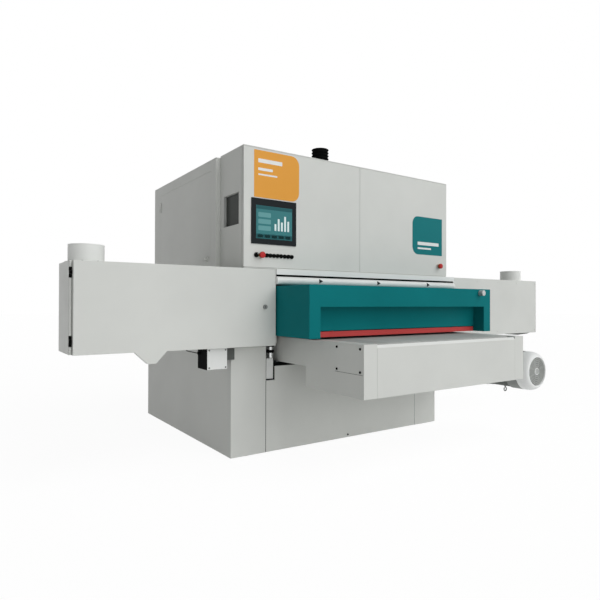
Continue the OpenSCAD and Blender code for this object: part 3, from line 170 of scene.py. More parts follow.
def bump(bsdf, height, distance, strength=1.0):
    made = add_node(bsdf.id_data, "ShaderNodeBump", Height=height, Strength=strength, Distance=distance)
    fill(bsdf, Normal=made.outputs["Normal"])


def coated(name, colour, rough=0.42, mottle=0.03, peel=0.00003, peel_scale=260, shine=0.5):
    """Sprayed or moulded finish: faint mottle, orange peel and uneven gloss."""
    made, tree, bsdf = new_material(name)
    space = texture_space(tree)
    tint = srgb(*colour)
    cloud = between(tree, noise(tree, space, 2.3, detail=4.0), 0, 1, 0.3, 0.7)
    tone = blend_colours(tree, cloud, shade(tint, 1 - mottle), shade(tint, 1 + mottle))
    smudge = noise(tree, space, 9.0, detail=5.0, rough=0.6)
    gloss = between(tree, smudge, rough * 0.85, rough * 1.15, 0.25, 0.75)
    fill(bsdf, Base_Color=tone, Roughness=gloss, Specular_IOR_Level=shine)
    bump(bsdf, noise(tree, space, peel_scale, detail=2.0), peel)
    return made


def machined(name, colour, rough=0.32, stretch=(1, 1, 1), grain=120, metal=1.0):
    """Turned, ground or brushed metal, with its grain drawn out along one direction."""
    made, tree, bsdf = new_material(name)
    tint = srgb(*colour)
    lines = noise(tree, texture_space(tree, stretch), grain, detail=4.0, rough=0.65)
    cloud = noise(tree, texture_space(tree), 6.0)
    tone = blend_colours(tree, lines, shade(tint, 0.86), shade(tint, 1.08))
    tone = blend_colours(tree, between(tree, cloud, 0, 0.25, 0.45, 0.7), tone, shade(tint, 0.72))
    gloss = between(tree, lines, rough * 0.75, rough * 1.3, 0.3, 0.7)
    fill(bsdf, Base_Color=tone, Roughness=gloss, Metallic=metal)
    bump(bsdf, lines, distance=0.00002)
    return made


def make_belt_rubber():
    """Feed belt: fine grip pattern, long scuffs along the feed and paler worn bands."""
    made, tree, bsdf = new_material("feed_belt_rubber")
    dark, pale, worn = srgb(156, 158, 155), srgb(190, 192, 189), srgb(202, 203, 201)
    scuffs = noise(tree, texture_space(tree, (34, 0.55, 1)), 1.0, detail=6.0, rough=0.6)
    bands = noise(tree, texture_space(tree, (5, 0.12, 1)), 1.0, detail=2.0)
    tone = blend_colours(tree, between(tree, scuffs, 0, 1, 0.3, 0.72), dark, pale)
    tone = blend_colours(tree, between(tree, bands, 0, 0.4, 0.4, 0.7), tone, worn)
    fill(bsdf, Base_Color=tone, Roughness=0.62)
    bump(bsdf, cells(tree, 420), distance=0.0004, strength=0.5)
    return made


def make_abrasive():
    """Coated abrasive cloth: brown grit with paler grains and dusty patches."""
    made, tree, bsdf = new_material("abrasive_grit")
    dark, pale, dust = srgb(92, 66, 48), srgb(150, 116, 88), srgb(176, 150, 122)
    grains = cells(tree, 900)
    cloud = noise(tree, texture_space(tree), 4.0, detail=4.0)
    tone = blend_colours(tree, grains, dark, pale)
    tone = blend_colours(tree, between(tree, cloud, 0, 0.35, 0.4, 0.7), tone, dust)
    fill(bsdf, Base_Color=tone, Roughness=0.92)
    bump(bsdf, grains, distance=0.0006, strength=0.8)
    return made


def make_screen(name, colour):
    """Lit screen behind smooth glass, slightly uneven."""
    made, tree, bsdf = new_material(name)
    tint = srgb(*colour)
    cloud = noise(tree, texture_space(tree), 1.6, detail=1.0)
    tone = blend_colours(tree, cloud, shade(tint, 0.94), shade(tint, 1.06))
    fill(bsdf, Base_Color=tone, Emission_Color=tone, Emission_Strength=0.12, Roughness=0.2,
         Specular_IOR_Level=0.1)
    return made


# Materials, with 8-bit display colours

TEAL = (16, 117, 121)
STEEL = (176, 180, 182)
FILM_FINISH = {"rough": 0.36, "peel": 0.00001}
CAST_FINISH = {"mottle": 0.04, "peel": 0.00008, "peel_scale": 180}

MATERIALS = {
    "paint": coated("grey_paint", (214, 216, 212), shine=0.15),
    # Pale paint of the spigots, also the painted highlight on the apron's sloped lip
    "spigot_and_lip_highlight": coated("spigot_paint_and_lip_highlight", (230, 232, 229), shine=0.2),
    "white": coated("white_paint", (232, 234, 232), rough=0.34, shine=0.3),
    "teal": coated("teal_paint", TEAL, rough=0.38, mottle=0.05, shine=0.03),
    "red_paint": coated("red_paint", (192, 70, 69), mottle=0.05, shine=0.15),
    "red": coated("red_plastic", (184, 44, 44), rough=0.36, mottle=0.02, shine=0.15),
    "yellow": coated("yellow_plastic", (226, 178, 42), rough=0.35, mottle=0.02),
    "orange": coated("orange_film", (228, 160, 64), mottle=0.015, shine=0.15, **FILM_FINISH),
    "black": coated("black_plastic", (18, 19, 19), rough=0.48, mottle=0.08, peel=0.00006, peel_scale=700,
                    shine=0.005),
    "bezel": coated("bezel_plastic", (38, 42, 44), rough=0.36, mottle=0.05, peel_scale=800, shine=0.03),
    "motor": coated("motor_enamel", (246, 248, 247), rough=0.45, shine=0.2, **CAST_FINISH),
    # Darker copy of the motor enamel: painted shade on the motor frames, fins and cowl sleeves
    "motor_shaded_body": coated("motor_body_painted_shade", (150, 153, 151), rough=0.5, shine=0.1, **CAST_FINISH),
    "steel": machined("machined_steel", STEEL),
    "plate_steel": machined("plate_steel", STEEL, rough=0.42, stretch=(1, 24, 24), grain=16),
    "shaft_steel": machined("ground_shaft", (206, 208, 208), rough=0.22, stretch=(24, 1, 1), grain=60),
    "silver": machined("silver_knob", (190, 192, 192), rough=0.5, stretch=(1, 12, 1), grain=60, metal=0.6),
    "belt": make_belt_rubber(),
    "grit": make_abrasive(),
    "screen": make_screen("screen_glass", (58, 118, 121)),
    "screen_tile": make_screen("screen_tile", (96, 150, 152)),
    "screen_deep": make_screen("screen_deep", (36, 88, 92)),
    "screen_light": make_screen("screen_light", (214, 228, 228)),
    "film_white": coated("white_film", (226, 229, 227), mottle=0.01, **FILM_FINISH),
    "film_teal": coated("teal_film", TEAL, mottle=0.02, shine=0.1, **FILM_FINISH),
    "screw": machined("zinc_screw", (120, 123, 121), rough=0.4, metal=0.8),
    "rubber": coated("cable_rubber", (84, 86, 84), rough=0.66, mottle=0.1, peel=0.0001, peel_scale=400,
                     shine=0.08),
    "terminal": coated("terminal_plastic", (168, 171, 166), rough=0.5),
    # Wire duct grey, also the painted shade along the front panel's right seam
    "duct": coated("wire_duct", (140, 146, 148), rough=0.55),
    # Dark grey of the bracket plate, also painted shade on the right arm's lip, the cap plates' feet and the
    # left panel seam
    "bracket": coated("bracket_paint_and_painted_shade", (96, 99, 96), rough=0.5, mottle=0.05, shine=0.15),
    "guard": coated("guard_wire", (178, 181, 178), rough=0.45, shine=0.2),
    "guard_deep": coated("guard_back", (136, 139, 137), rough=0.6, mottle=0.06, shine=0.1),
    "pane": coated("window_pane", (74, 77, 74), rough=0.2, mottle=0.05, peel=0.0, shine=0.05),
    # Darker copy of the grey paint: painted shade on the window recess's rear wall
    "reveal_painted_shade": coated("window_reveal_painted_shade", (192, 195, 192), rough=0.5, shine=0.1),
}


# Mesh helpers

SMOOTH_ANGLE = math.radians(40)
FLAT_AREA = 0.02
AXES = {
    "x": Matrix(((0, 0, 1), (1, 0, 0), (0, 1, 0))),
    "y": Matrix(((1, 0, 0), (0, 0, 1), (0, -1, 0))),
    "z": Matrix.Identity(3),
}


def mm(*values):
    """Metres from millimetres."""
    return tuple(v / 1000 for v in values)


def low_of(node):
    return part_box(node)[0]


def high_of(node):
    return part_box(node)[1]


def middle(node):
    low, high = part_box(node)
    return (low + high) / 2


def along(start, end, count):
    """Evenly spaced numbers from start to end."""
    return [start + (end - start) * i / (count - 1) for i in range(count)]


def mesh_object(name, bm):
    bmesh.ops.recalc_face_normals(bm, faces=bm.faces)
    mesh = bpy.data.meshes.new(name)
    bm.to_mesh(mesh)
    bm.free()
    return add_object(name, mesh)


def piece(name, bm, material, body, replaces=()):
    """A finished object from a bmesh, riding on a body."""
    made = mesh_object(name, bm)
    for polygon in made.data.polygons:
        polygon.use_smooth = polygon.area < FLAT_AREA
    made.data.set_sharp_from_angle(angle=SMOOTH_ANGLE)
    for entry in material if isinstance(material, list) else [material]:
        made.data.materials.append(MATERIALS[entry])
    weighted = made.modifiers.new("weighted_normal", "WEIGHTED_NORMAL")
    weighted.keep_sharp = True
    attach(made, body)
    if replaces:
        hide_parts(*replaces)


def slab(bm, low, high, radius=0.0, index=0, steps=1):
    """A box, with rounded edges where a radius is given."""
    low, high = Vector(low), Vector(high)
    place = Matrix.Translation((low + high) / 2) @ Matrix.Diagonal((high - low).to_4d())
    verts = bmesh.ops.create_cube(bm, size=1.0, matrix=place)["verts"]
    faces = {f for v in verts for f in v.link_faces}
    if radius:
        edges = list({e for v in verts for e in v.link_edges})
        result = bmesh.ops.bevel(bm, geom=edges, offset=radius, segments=steps, profile=0.5, affect="EDGES")
        faces = {f for f in faces if f.is_valid} | set(result["faces"])
    for face in faces:
        face.material_index = index


def placed(base, axis, u, v, height):
    """A point given across and along an axis from base; a minus sign turns the axis round."""
    sign = -1 if axis.startswith("-") else 1
    return Vector(base) + AXES[axis.strip("-")] @ Vector((u, v, sign * height))


def circle_of(base, axis, count, radius, height, shift=0.5):
    """Points evenly spaced on a circle around an axis, turned by a share of their spacing."""
    angles = [2 * math.pi * (i + shift) / count for i in range(count)]
    return [placed(base, axis, radius * math.cos(a), radius * math.sin(a), height) for a in angles]


def join_rings(bm, rings, index=0, closed=False):
    """Faces between neighbouring rings of points, and over both ends unless the run is closed."""
    rings = [[bm.verts.new(point) for point in ring] for ring in rings]
    pairs = list(zip(rings, rings[1:]))
    if closed:
        pairs.append((rings[-1], rings[0]))
    faces = []
    for first, second in pairs:
        count = max(len(first), len(second))
        for i in range(count):
            ends = (i, (i + 1) % count)
            corners = [first[k % len(first)] for k in ends]
            corners += [second[k % len(second)] for k in reversed(ends)]
            faces.append(list(dict.fromkeys(corners)))
    if not closed:
        faces += [rings[0], rings[-1]]
    for face in faces:
        if len(face) > 2:
            bm.faces.new(face).material_index = index


def lathe(bm, base, axis, profile, sides=40, index=0, closed=False):
    """A solid of revolution from (radius, distance along the axis) pairs; a closed profile makes a ring."""
    rings = [circle_of(base, axis, sides if radius > 0 else 1, radius, height, shift=0)
             for radius, height in profile]
    join_rings(bm, rings, index, closed)


def arc(centre_u, centre_v, radius, start, end, steps=5):
    """Points of a round from a start to an end angle, in degrees."""
    angles = [math.radians(a) for a in along(start, end, steps + 1)]
    return [(centre_u + radius * math.cos(a), centre_v + radius * math.sin(a)) for a in angles]


def prism(bm, outline, axis, near, far, index=0):
    """An outline, in the two other axes in X, Y, Z order, run from near to far along an axis."""
    k = "xyz".index(axis)
    join_rings(bm, [[(*p[:k], depth, *p[k:]) for p in outline] for depth in (near, far)], index)


def band(bm, base, axis, inner, outer, near, far, edge, sides=40, index=0):
    """A flat ring with a small chamfer on its far outer edge."""
    profile = [(inner, near), (outer, near), (outer, far - edge), (outer - edge, far), (inner, far)]
    lathe(bm, base, axis, profile, sides, index, closed=True)


def plates(bm, base, axis, count, inner, outer, near, far, thick, index):
    """Flat plates that stand out around an axis, such as cooling fins or grille bars."""
    half = thick / 2
    corners = ((-half, near), (half, near), (half, far), (-half, far))
    for i in range(count):
        turn = Matrix.Rotation(2 * math.pi * (i + 0.5) / count, 2)
        rings = []
        for radius in (inner, outer):
            spots = [(*(turn @ Vector((radius, aside))), height) for aside, height in corners]
            rings.append([placed(base, axis, *spot) for spot in spots])
        join_rings(bm, rings, index)


def rounded(low_u, low_v, high_u, high_v, radii, steps=6):
    """A rectangle whose corners, counter-clockwise from the low one, have their own radii."""
    corners = ((low_u, low_v, 1, 1, 180), (high_u, low_v, -1, 1, 270), (high_u, high_v, -1, -1, 0),
               (low_u, high_v, 1, -1, 90))
    points = []
    for (u, v, inward_u, inward_v, start), radius in zip(corners, radii):
        points += arc(u + inward_u * radius, v + inward_v * radius, radius, start, start + 90, steps)
    return points


def tube(bm, points, radius, sides):
    """A round tube along a smooth run of points."""
    rings = []
    spokes = arc(0, 0, radius, 0, 360, sides)[:-1]
    normal = (points[1] - points[0]).orthogonal()
    for i, point in enumerate(points):
        ahead = (points[min(i + 1, len(points) - 1)] - points[max(i - 1, 0)]).normalized()
        normal = (normal - ahead * normal.dot(ahead)).normalized()
        across = ahead.cross(normal)
        rings.append([point + normal * u + across * v for u, v in spokes])
    join_rings(bm, rings)


def socket_screws(bm, places, axis, radius, height, index=0):
    """Round screw heads with a sunk socket; axis points out of the panel."""
    hole = radius * 0.5
    profile = [(radius, -height / 2)] + arc(radius * 0.8, height * 0.8, radius * 0.2, 0, 90, 3)
    profile += [(hole, height), (hole * 0.9, height * 0.3), (0, height * 0.3)]
    for place in places:
        lathe(bm, place, axis, profile, 18, index)


def screws(name, places, axis, body, radius, material="screw", height=0.004):
    """A piece that is the screws on one face of a body."""
    bm = bmesh.new()
    socket_screws(bm, places, axis, radius, height)
    piece(name, bm, material, body)


def rim_places(axis, face, low, high, count_u, count_v, inset):
    """Screw places around the rim of a panel that faces along an axis."""
    k = "xyz".index(axis)
    u, v = (i for i in range(3) if i != k)
    us = along(low[u] + inset, high[u] - inset, count_u)
    vs = along(low[v] + inset, high[v] - inset, count_v)
    points = [(a, b) for a in us for b in (vs[0], vs[-1])]
    points += [(a, b) for b in vs[1:-1] for a in (us[0], us[-1])]
    return [(*p[:k], face, *p[k:]) for p in points]


def wide_from(edge, face, reach):
    """Whether a face reaches far enough from an edge to be rounded there."""
    start = edge.verts[0].co
    ahead = (edge.verts[1].co - start).normalized()
    offsets = [vert.co - start for vert in face.verts]
    return any((offset - ahead * offset.dot(ahead)).length >= reach for offset in offsets)


ROUNDING_ROOM = 2.5
MERGE_DISTANCE = 1e-6
FLAT_ANGLE = math.radians(0.6)
SHARP_ANGLE = math.radians(50)


def dress(node, radius, material="paint", trim=None):
    """Stands a copy in for a node, changed by a trim function if one is given, its outer edges rounded."""
    bm = bmesh.new()
    bm.from_mesh(frame["nodes"][node].data)
    bmesh.ops.remove_doubles(bm, verts=bm.verts, dist=MERGE_DISTANCE)
    bmesh.ops.dissolve_limit(bm, angle_limit=FLAT_ANGLE, verts=bm.verts, edges=bm.edges)
    if trim:
        trim(bm)
    edges = []
    for edge in bm.edges:
        if len(edge.link_faces) != 2 or not edge.is_convex or edge.calc_face_angle() < SHARP_ANGLE:
            continue
        if all(wide_from(edge, face, radius * ROUNDING_ROOM) for face in edge.link_faces):
            edges.append(edge)
    bmesh.ops.bevel(bm, geom=edges, offset=radius, segments=3, profile=0.5, affect="EDGES",
                    clamp_overlap=True)
    piece(node + "_skin", bm, material, frame["nodes"][node]["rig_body"], replaces=(node,))


# Stage and light

FLOOR_SIZE = 60
FLOOR_GREY = (0.83, 0.83, 0.83, 1)
WHITE = (1, 1, 1, 1)
FLOOR_WHITE = 1.06
FLOOR_GLOW = 0.88
FLOOR_BOUNCE = 0.20
SKY_LIGHT = 0.22

# Direction towards each lamp, its strength and its spread in degrees
SUNS = {
    "key_sun": (Vector((0.38, -0.67, 0.64)), 1.41, 58),
    "front_sun": (Vector((0.02, -1.0, 0.02)), 0.87, 46),
}


def seen_ray(tree):
    """1 for rays that show the background: from the camera, or reflected or refracted."""
    path = add_node(tree, "ShaderNodeLightPath")
    total = path.outputs["Is Camera Ray"]
    for name in ("Is Glossy Ray", "Is Transmission Ray"):
        larger = add_node(tree, "ShaderNodeMath")
        larger.operation = "MAXIMUM"
        put(larger.inputs[0], total)
        put(larger.inputs[1], path.outputs[name])
        total = larger.outputs["Value"]
    return total


def make_stage():
    """Floor that shows as white, keeps its shadow and throws back little light."""
    bm = bmesh.new()
    bmesh.ops.create_grid(bm, x_segments=1, y_segments=1, size=FLOOR_SIZE)
    floor = mesh_object("floor", bm)
    made, tree, bsdf = new_material("pale_floor")
    fill(bsdf, Base_Color=FLOOR_GREY, Roughness=0.9)
    glow = add_node(tree, "ShaderNodeEmission", Color=WHITE, Strength=FLOOR_WHITE)
    mix = add_node(tree, "ShaderNodeMixShader", Fac=between(tree, seen_ray(tree), FLOOR_BOUNCE, FLOOR_GLOW))
    put(mix.inputs[1], bsdf.outputs["BSDF"])
    put(mix.inputs[2], glow.outputs["Emission"])
    fill(tree.nodes["Material Output"], Surface=mix.outputs["Shader"])
    floor.data.materials.append(made)


def make_light():
    world = bpy.data.worlds.new("studio")
    bpy.context.scene.world = world
    world.use_nodes = True
    tree = world.node_tree
    fill(tree.nodes["Background"], Color=WHITE, Strength=between(tree, seen_ray(tree), SKY_LIGHT, 1.0))
    for name, (source, strength, spread) in SUNS.items():
        data = bpy.data.lights.new(name, "SUN")
        data.energy = strength
        data.angle = math.radians(spread)
        sun = add_object(name, data)
        sun.matrix_world = source.normalized().to_track_quat("Z", "Y").to_matrix().to_4x4()
    bpy.context.scene.view_settings.view_transform = "Standard"


make_camera()
make_stage()
make_light()


# Finish of the nodes that keep their own shape

KEPT = {
    "paint": "head_front_plate service_handle",
    "guard_deep": "arm_latch",
    "plate_steel": "base_cross_beams table_frame bed_plate control_gear cross_beam unit_beam tension_yoke "
                   "roller_bearings",
    "steel": "lift_spindles cross_drive_pulley cross_idler_pulley drive_sprocket",
    "shaft_steel": "nose_roller tail_roller contact_roller tension_roller",
    "belt": "feed_belt",
    "grit": "cross_belt wide_belt",
    "black": "levelling_feet feed_chain door_hinges junction_box selector_switch button_1 button_2 button_3",
    "bezel": "lift_jacks",
    "red": "estop_left estop_right",
    "red_paint": "trip_bar",
    "silver": "clamp_knob",
}
for material_name, node_names in KEPT.items():
    for node_name in node_names.split():
        finish = frame["nodes"][node_name].data.materials
        finish.clear()
        finish.append(MATERIALS[material_name])

# Sheet metal with folded edges

FOLD = 0.0045
TIGHT_FOLD = 0.0015
FOLDED = {
    FOLD: "base_left_pedestal base_right_pedestal table_caps head_outer_walls cabinet_shell left_arm_casing "
          "right_arm_casing base_panels",
    TIGHT_FOLD: "head_left_wall service_door right_arm_cover left_cabinet_door right_cabinet_door "
                "left_arm_door",
}
for fold_radius, node_names in FOLDED.items():
    for node_name in node_names.split():
        dress(node_name, fold_radius)

LIP_DEPTH = 0.0110
LIP_DROP = 0.0200


def cut_apron_lip(bm):
    """Slopes the top of the front apron back towards the belt, in a lighter paint that is a painted
    highlight.
    """
    front, top = low_of("table_aprons")[1], high_of("table_aprons")[2]
    near = 0.0005

    def at_front(vert):
        return vert.co[1] < front + near

    edges = [e for e in bm.edges if all(at_front(v) and v.co[2] > top - near for v in e.verts)]
    bmesh.ops.bevel(bm, geom=edges, offset=LIP_DEPTH, segments=1, profile=0.5, affect="EDGES")
    for vert in bm.verts:
        if at_front(vert) and top - LIP_DEPTH - near < vert.co[2] < top - near:
            vert.co[2] = top - LIP_DROP
    bm.normal_update()
    # Faces that lean forward and up take the paler paint: a painted highlight on the lip
    lean = 0.3
    for face in bm.faces:
        if face.normal[1] < -lean and face.normal[2] > lean:
            face.material_index = 1


# The apron's second paint is the painted highlight on its sloped lip
dress("table_aprons", 0.004, ["paint", "spigot_and_lip_highlight"], trim=cut_apron_lip)
dress("infeed_hood", FOLD, "teal")
dress("hood_rail", 0.003, "white")
dress("feed_gearbox", 0.009, "motor")
dress("hmi_panel", 0.003, "bezel")

DOOR_FRONT = low_of("cabinet_shell")[1]
ROW_HEIGHT = middle("button_1")[2]


# Touch panel

SCREEN_CORNER = (0.098, 0.117)
SCREEN_SHARE = (0.81, 0.733)
PAGE_SKIN = 0.0005


def make_screen_pieces():
    """Screen glass with a plain page: a top bar, three fields, a column chart and a row of keys."""
    low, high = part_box("hmi_panel")
    panel_w, panel_h = high[0] - low[0], high[2] - low[2]
    left, foot = low[0] + SCREEN_CORNER[0] * panel_w, low[2] + SCREEN_CORNER[1] * panel_h
    page_w, page_h = SCREEN_SHARE[0] * panel_w, SCREEN_SHARE[1] * panel_h
    front, back = low[1] + 0.0016, low[1] + 0.0032
    rim = 0.0006
    bm = bmesh.new()
    slab(bm, (left + rim, front, foot + rim), (left + page_w - rim, back, foot + page_h - rim), 0.0005)

    def patch(u0, v0, u1, v1, round_share, index):
        """A rounded patch of the page, in shares of its width and height."""
        outline = rounded(left + u0 * page_w, foot + v0 * page_h, left + u1 * page_w, foot + v1 * page_h,
                          (round_share * page_h,) * 4, 4)
        prism(bm, outline, "y", front - PAGE_SKIN, front + PAGE_SKIN / 2, index)

    tile, deep, light = 1, 2, 3
    patch(0.01, 0.89, 0.99, 0.99, 0.01, deep)
    patch(0.01, 0.01, 0.99, 0.15, 0.01, deep)
    for u in along(0.04, 0.80, 5):
        patch(u, 0.035, u + 0.15, 0.125, 0.02, tile)
    for v in along(0.25, 0.65, 3):
        patch(0.06, v, 0.40, v + 0.14, 0.03, tile)
    for u, share in zip(along(0.50, 0.86, 5), (0.45, 0.8, 0.6, 1.0, 0.7)):
        patch(u, 0.27, u + 0.05, 0.27 + 0.46 * share, 0.01, light)
    piece("screen_glass", bm, ["screen", "screen_tile", "screen_deep", "screen_light"], "left_cabinet_door")


# Printed films on the doors, in millimetres

FILM = 0.0007
BAR_RADII = (5, 5, 5, 5)


def make_film(name, shape, radii, bars, material, door):
    """A plain rounded film with pale bars."""
    near = DOOR_FRONT - FILM
    bm = bmesh.new()
    prism(bm, rounded(*mm(*shape), mm(*radii)), "y", near, DOOR_FRONT)
    for bar in bars:
        prism(bm, rounded(*mm(*bar), mm(*BAR_RADII), 3), "y", near - FILM / 3, near + FILM / 3, 1)
    piece(name, bm, [material, "film_white"], door)


def make_films():
    """Orange film on the left door, teal film on the right."""
    bars = ((-1172, 2222, -962, 2252), (-1172, 2164, -1046, 2184), (-1172, 2128, -1006, 2140))
    make_film("orange_film", (-1207, 1963, -806, 2314), (5, 70, 70, 5), bars, "orange", "left_cabinet_door")
    bars = ((520, 1722, 806, 1752), (520, 1684, 700, 1700))
    make_film("teal_film", (452, 1634, 854, 1986), (70, 5, 5, 70), bars, "film_teal", "right_cabinet_door")


# Control row

DEVICE_STEP = 0.0318
DEVICE_COUNT = 8
DEVICE_RADIUS = 0.0138
MOVING = {0: "button_1", 3: "button_2", 6: "button_3"}
RING_HEIGHT = 0.0075


def dome(bm, place, foot, height):
    """A round cap that bulges out of the door, from its foot to its crown."""
    points = [(DEVICE_RADIUS * 0.94, foot), (DEVICE_RADIUS, foot + 0.001)]
    for a in along(0, math.pi / 2, 8)[:-1]:
        points.append((DEVICE_RADIUS * math.cos(a), foot + height * (0.45 + 0.55 * math.sin(a))))
    lathe(bm, place, "-y", points + [(0, foot + height)], 28)


def make_control_row():
    """Rings and domed caps of the small devices, and the selector's ring and mark."""
    rings = bmesh.new()
    caps = bmesh.new()
    first = middle("button_1")[0]
    for i in range(DEVICE_COUNT):
        place = (first + i * DEVICE_STEP, DOOR_FRONT, ROW_HEIGHT)
        band(rings, place, "-y", 0.0095, 0.0157, 0, RING_HEIGHT, 0.0015, 28)
        if i in MOVING:
            moving = bmesh.new()
            dome(moving, place, 0.0121, 0.0090)
            piece(MOVING[i] + "_cap", moving, "black", MOVING[i])
        else:
            dome(caps, place, RING_HEIGHT - 0.001, 0.0120)
    selector = middle("selector_switch")[0]
    band(rings, (selector, DOOR_FRONT, ROW_HEIGHT), "-y", 0.0135, 0.0185, 0, 0.013, 0.002, 32)
    piece("device_rings", rings, "black", "left_cabinet_door")
    piece("device_caps", caps, "black", "left_cabinet_door")
    mark = bmesh.new()
    tip = low_of("selector_switch")[1]
    half, skin = 0.0012, 0.0004
    slab(mark, (selector - half, tip - skin, ROW_HEIGHT + 0.002),
         (selector + half, tip + skin, ROW_HEIGHT + 0.0115), 0.0003)
    piece("selector_mark", mark, "film_white", "selector_switch")


def make_stop_buttons():
    """Dark collars on the doors, and domed red mushrooms with a thin yellow ring on the emergency stops."""
    for side in ("left", "right"):
        name = "estop_" + side
        place = (middle(name)[0], DOOR_FRONT, ROW_HEIGHT)
        collar = bmesh.new()
        band(collar, place, "-y", 0.0095, 0.0180, 0, 0.0064, 0.002)
        piece(name + "_collar", collar, "black", side + "_cabinet_door")
        reach = DOOR_FRONT - low_of(name)[1]
        cap = bmesh.new()
        points = [(0.012, reach - 0.0200), (0.015, reach - 0.0190), (0.0232, reach - 0.0130)]
        points += arc(0.0176, reach - 0.0028, 0.0062, 0, 70)
        points += [(0.0120, reach + 0.0036), (0.0060, reach + 0.0042), (0, reach + 0.0044)]
        lathe(cap, place, "-y", points)
        band(cap, place, "-y", 0.0190, 0.0233, reach - 0.0150, reach - 0.0120, 0.001, index=1)
        piece(name + "_mushroom", cap, ["red", "yellow"], name)


# Cabinet

def make_window():
    """Dark pane in the recess of the cabinet's left side, with a darker grey lining on the recess's rear wall
    as painted shade.
    """
    left = low_of("cabinet_shell")[0]
    near_y, far_y, foot, top = mm(-595, -343, 1766.4, 2004.4)
    depth = left + 0.0288
    lining = 0.0015
    bm = bmesh.new()
    slab(bm, (depth - 0.0040, near_y, foot), (depth, far_y, top), 0.001)
    # Darker lining on the recess's rear wall: painted shade
    slab(bm, (left + 0.003, far_y - lining, foot), (depth - 0.0035, far_y, top), index=1)
    piece("window_pane", bm, ["pane", "reveal_painted_shade"], "head")


# Boxes of the control gear: left, width, foot, height and depth, in shares of its plate and its room
DRIVES = ((0.04, 0.22, 0.55, 0.36, 0.30), (0.31, 0.14, 0.55, 0.36, 0.38), (0.50, 0.14, 0.55, 0.36, 0.38),
          (0.70, 0.26, 0.52, 0.40, 0.42))
BREAKER_ROWS = ((0.06, 0.40, 0.10, 0.16, 0.22), (0.52, 0.42, 0.10, 0.16, 0.22))
DUCT_FEET = (0.02, 0.32, 0.46)
GEAR_ROOM = 0.358
BREAKER_STEP = 0.024


def make_control_gear_details():
    """Drive covers with vents, rows of breakers and slotted wire ducts on the boxes behind the doors."""
    low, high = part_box("control_gear")
    plate_front = high[1] - 0.008
    grey, black, duct = 0, 1, 2
    bm = bmesh.new()

    def spot(u, v):
        return low[0] + u * (high[0] - low[0]), low[2] + v * (high[2] - low[2])

    def sides(u, wide, v, tall, deep):
        return (*spot(u, v), *spot(u + wide, v + tall), plate_front - deep * GEAR_ROOM)

    for drive in DRIVES:
        x0, z0, x1, z1, front = sides(*drive)
        inset = 0.006
        margin = 0.03
        back = front - 0.006
        slab(bm, (x0 + inset, front - 0.008, z0 + inset), (x1 - inset, front + 0.004, z1 - inset), 0.004,
             grey, 2)
        slab(bm, (x0 + margin, front - 0.0105, z1 - 0.08), (x0 + 0.13, back, z1 - margin), 0.002, black)
        for z in along(z0 + margin, z0 + margin + 0.084, 7):
            slab(bm, (x0 + margin, front - 0.0100, z), (x1 - margin, back, z + 0.006), 0.001, black)
    for row in BREAKER_ROWS:
        x0, z0, x1, z1, front = sides(*row)
        for k in range(int((x1 - x0) / BREAKER_STEP)):
            x = x0 + 0.003 + k * BREAKER_STEP
            slab(bm, (x, front - 0.012, z0 + 0.012), (x + 0.0215, front + 0.004, z1 - 0.012), 0.002,
                 grey if k % 5 else black)
            slab(bm, (x + 0.007, front - 0.020, z0 + 0.05), (x + 0.0145, front - 0.010, z0 + 0.07), 0.002,
                 black)
    for v in DUCT_FEET:
        x0, z0 = spot(0.02, v)
        x1, z1 = spot(0.98, v + 0.055)
        slab(bm, (x0, plate_front - 0.06, z0), (x1, plate_front + 0.002, z1), 0.003, duct)
        for x in along(x0 + 0.02, x1 - 0.02, 60):
            slab(bm, (x - 0.004, plate_front - 0.061, z0 + 0.006),
                 (x + 0.004, plate_front - 0.058, z1 - 0.006), index=black)
    piece("control_gear_details", bm, ["terminal", "black", "duct"], "head")


# Rail and hood

def make_rail_details():
    """Black strip in the slot above the rail as painted shade, and three black clips on its front."""
    low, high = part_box("hood_rail")
    end_gap = 0.002
    bm = bmesh.new()
    # Black strip in the gap above the rail: painted shade
    slab(bm, (low[0] + end_gap, DOOR_FRONT - 0.0026, 1.3806), (high[0] - end_gap, DOOR_FRONT + 0.001, 1.3944),
         0.0008)
    piece("rail_slot_shade", bm, "black", "head")
    bm = bmesh.new()
    half = 0.0160
    z = low[2] + 0.036
    for x in mm(-612, 10, 632):
        shape = [(x - half, z - half - 0.004), (x + half, z - 0.006), (x + half, z - 0.002),
                 (x - half, z + half - 0.004)]
        prism(bm, shape, "y", low[1] - 0.003, low[1] + 0.026)
    piece("rail_clips", bm, "bezel", "head")


def make_knob_cap():
    """Turned cap of the clamp knob."""
    centre = middle("clamp_knob")
    place = (centre[0], low_of("clamp_knob")[1], centre[2])
    bm = bmesh.new()
    profile = [(0.0195, -0.002)] + arc(0.0165, -0.0010, 0.003, 0, 80, 4) + [(0.0100, 0.0024), (0, 0.0026)]
    lathe(bm, place, "-y", profile, 32)
    piece("knob_cap", bm, "silver", "clamp_knob")


# Table

SHALLOW_RISE = 0.154


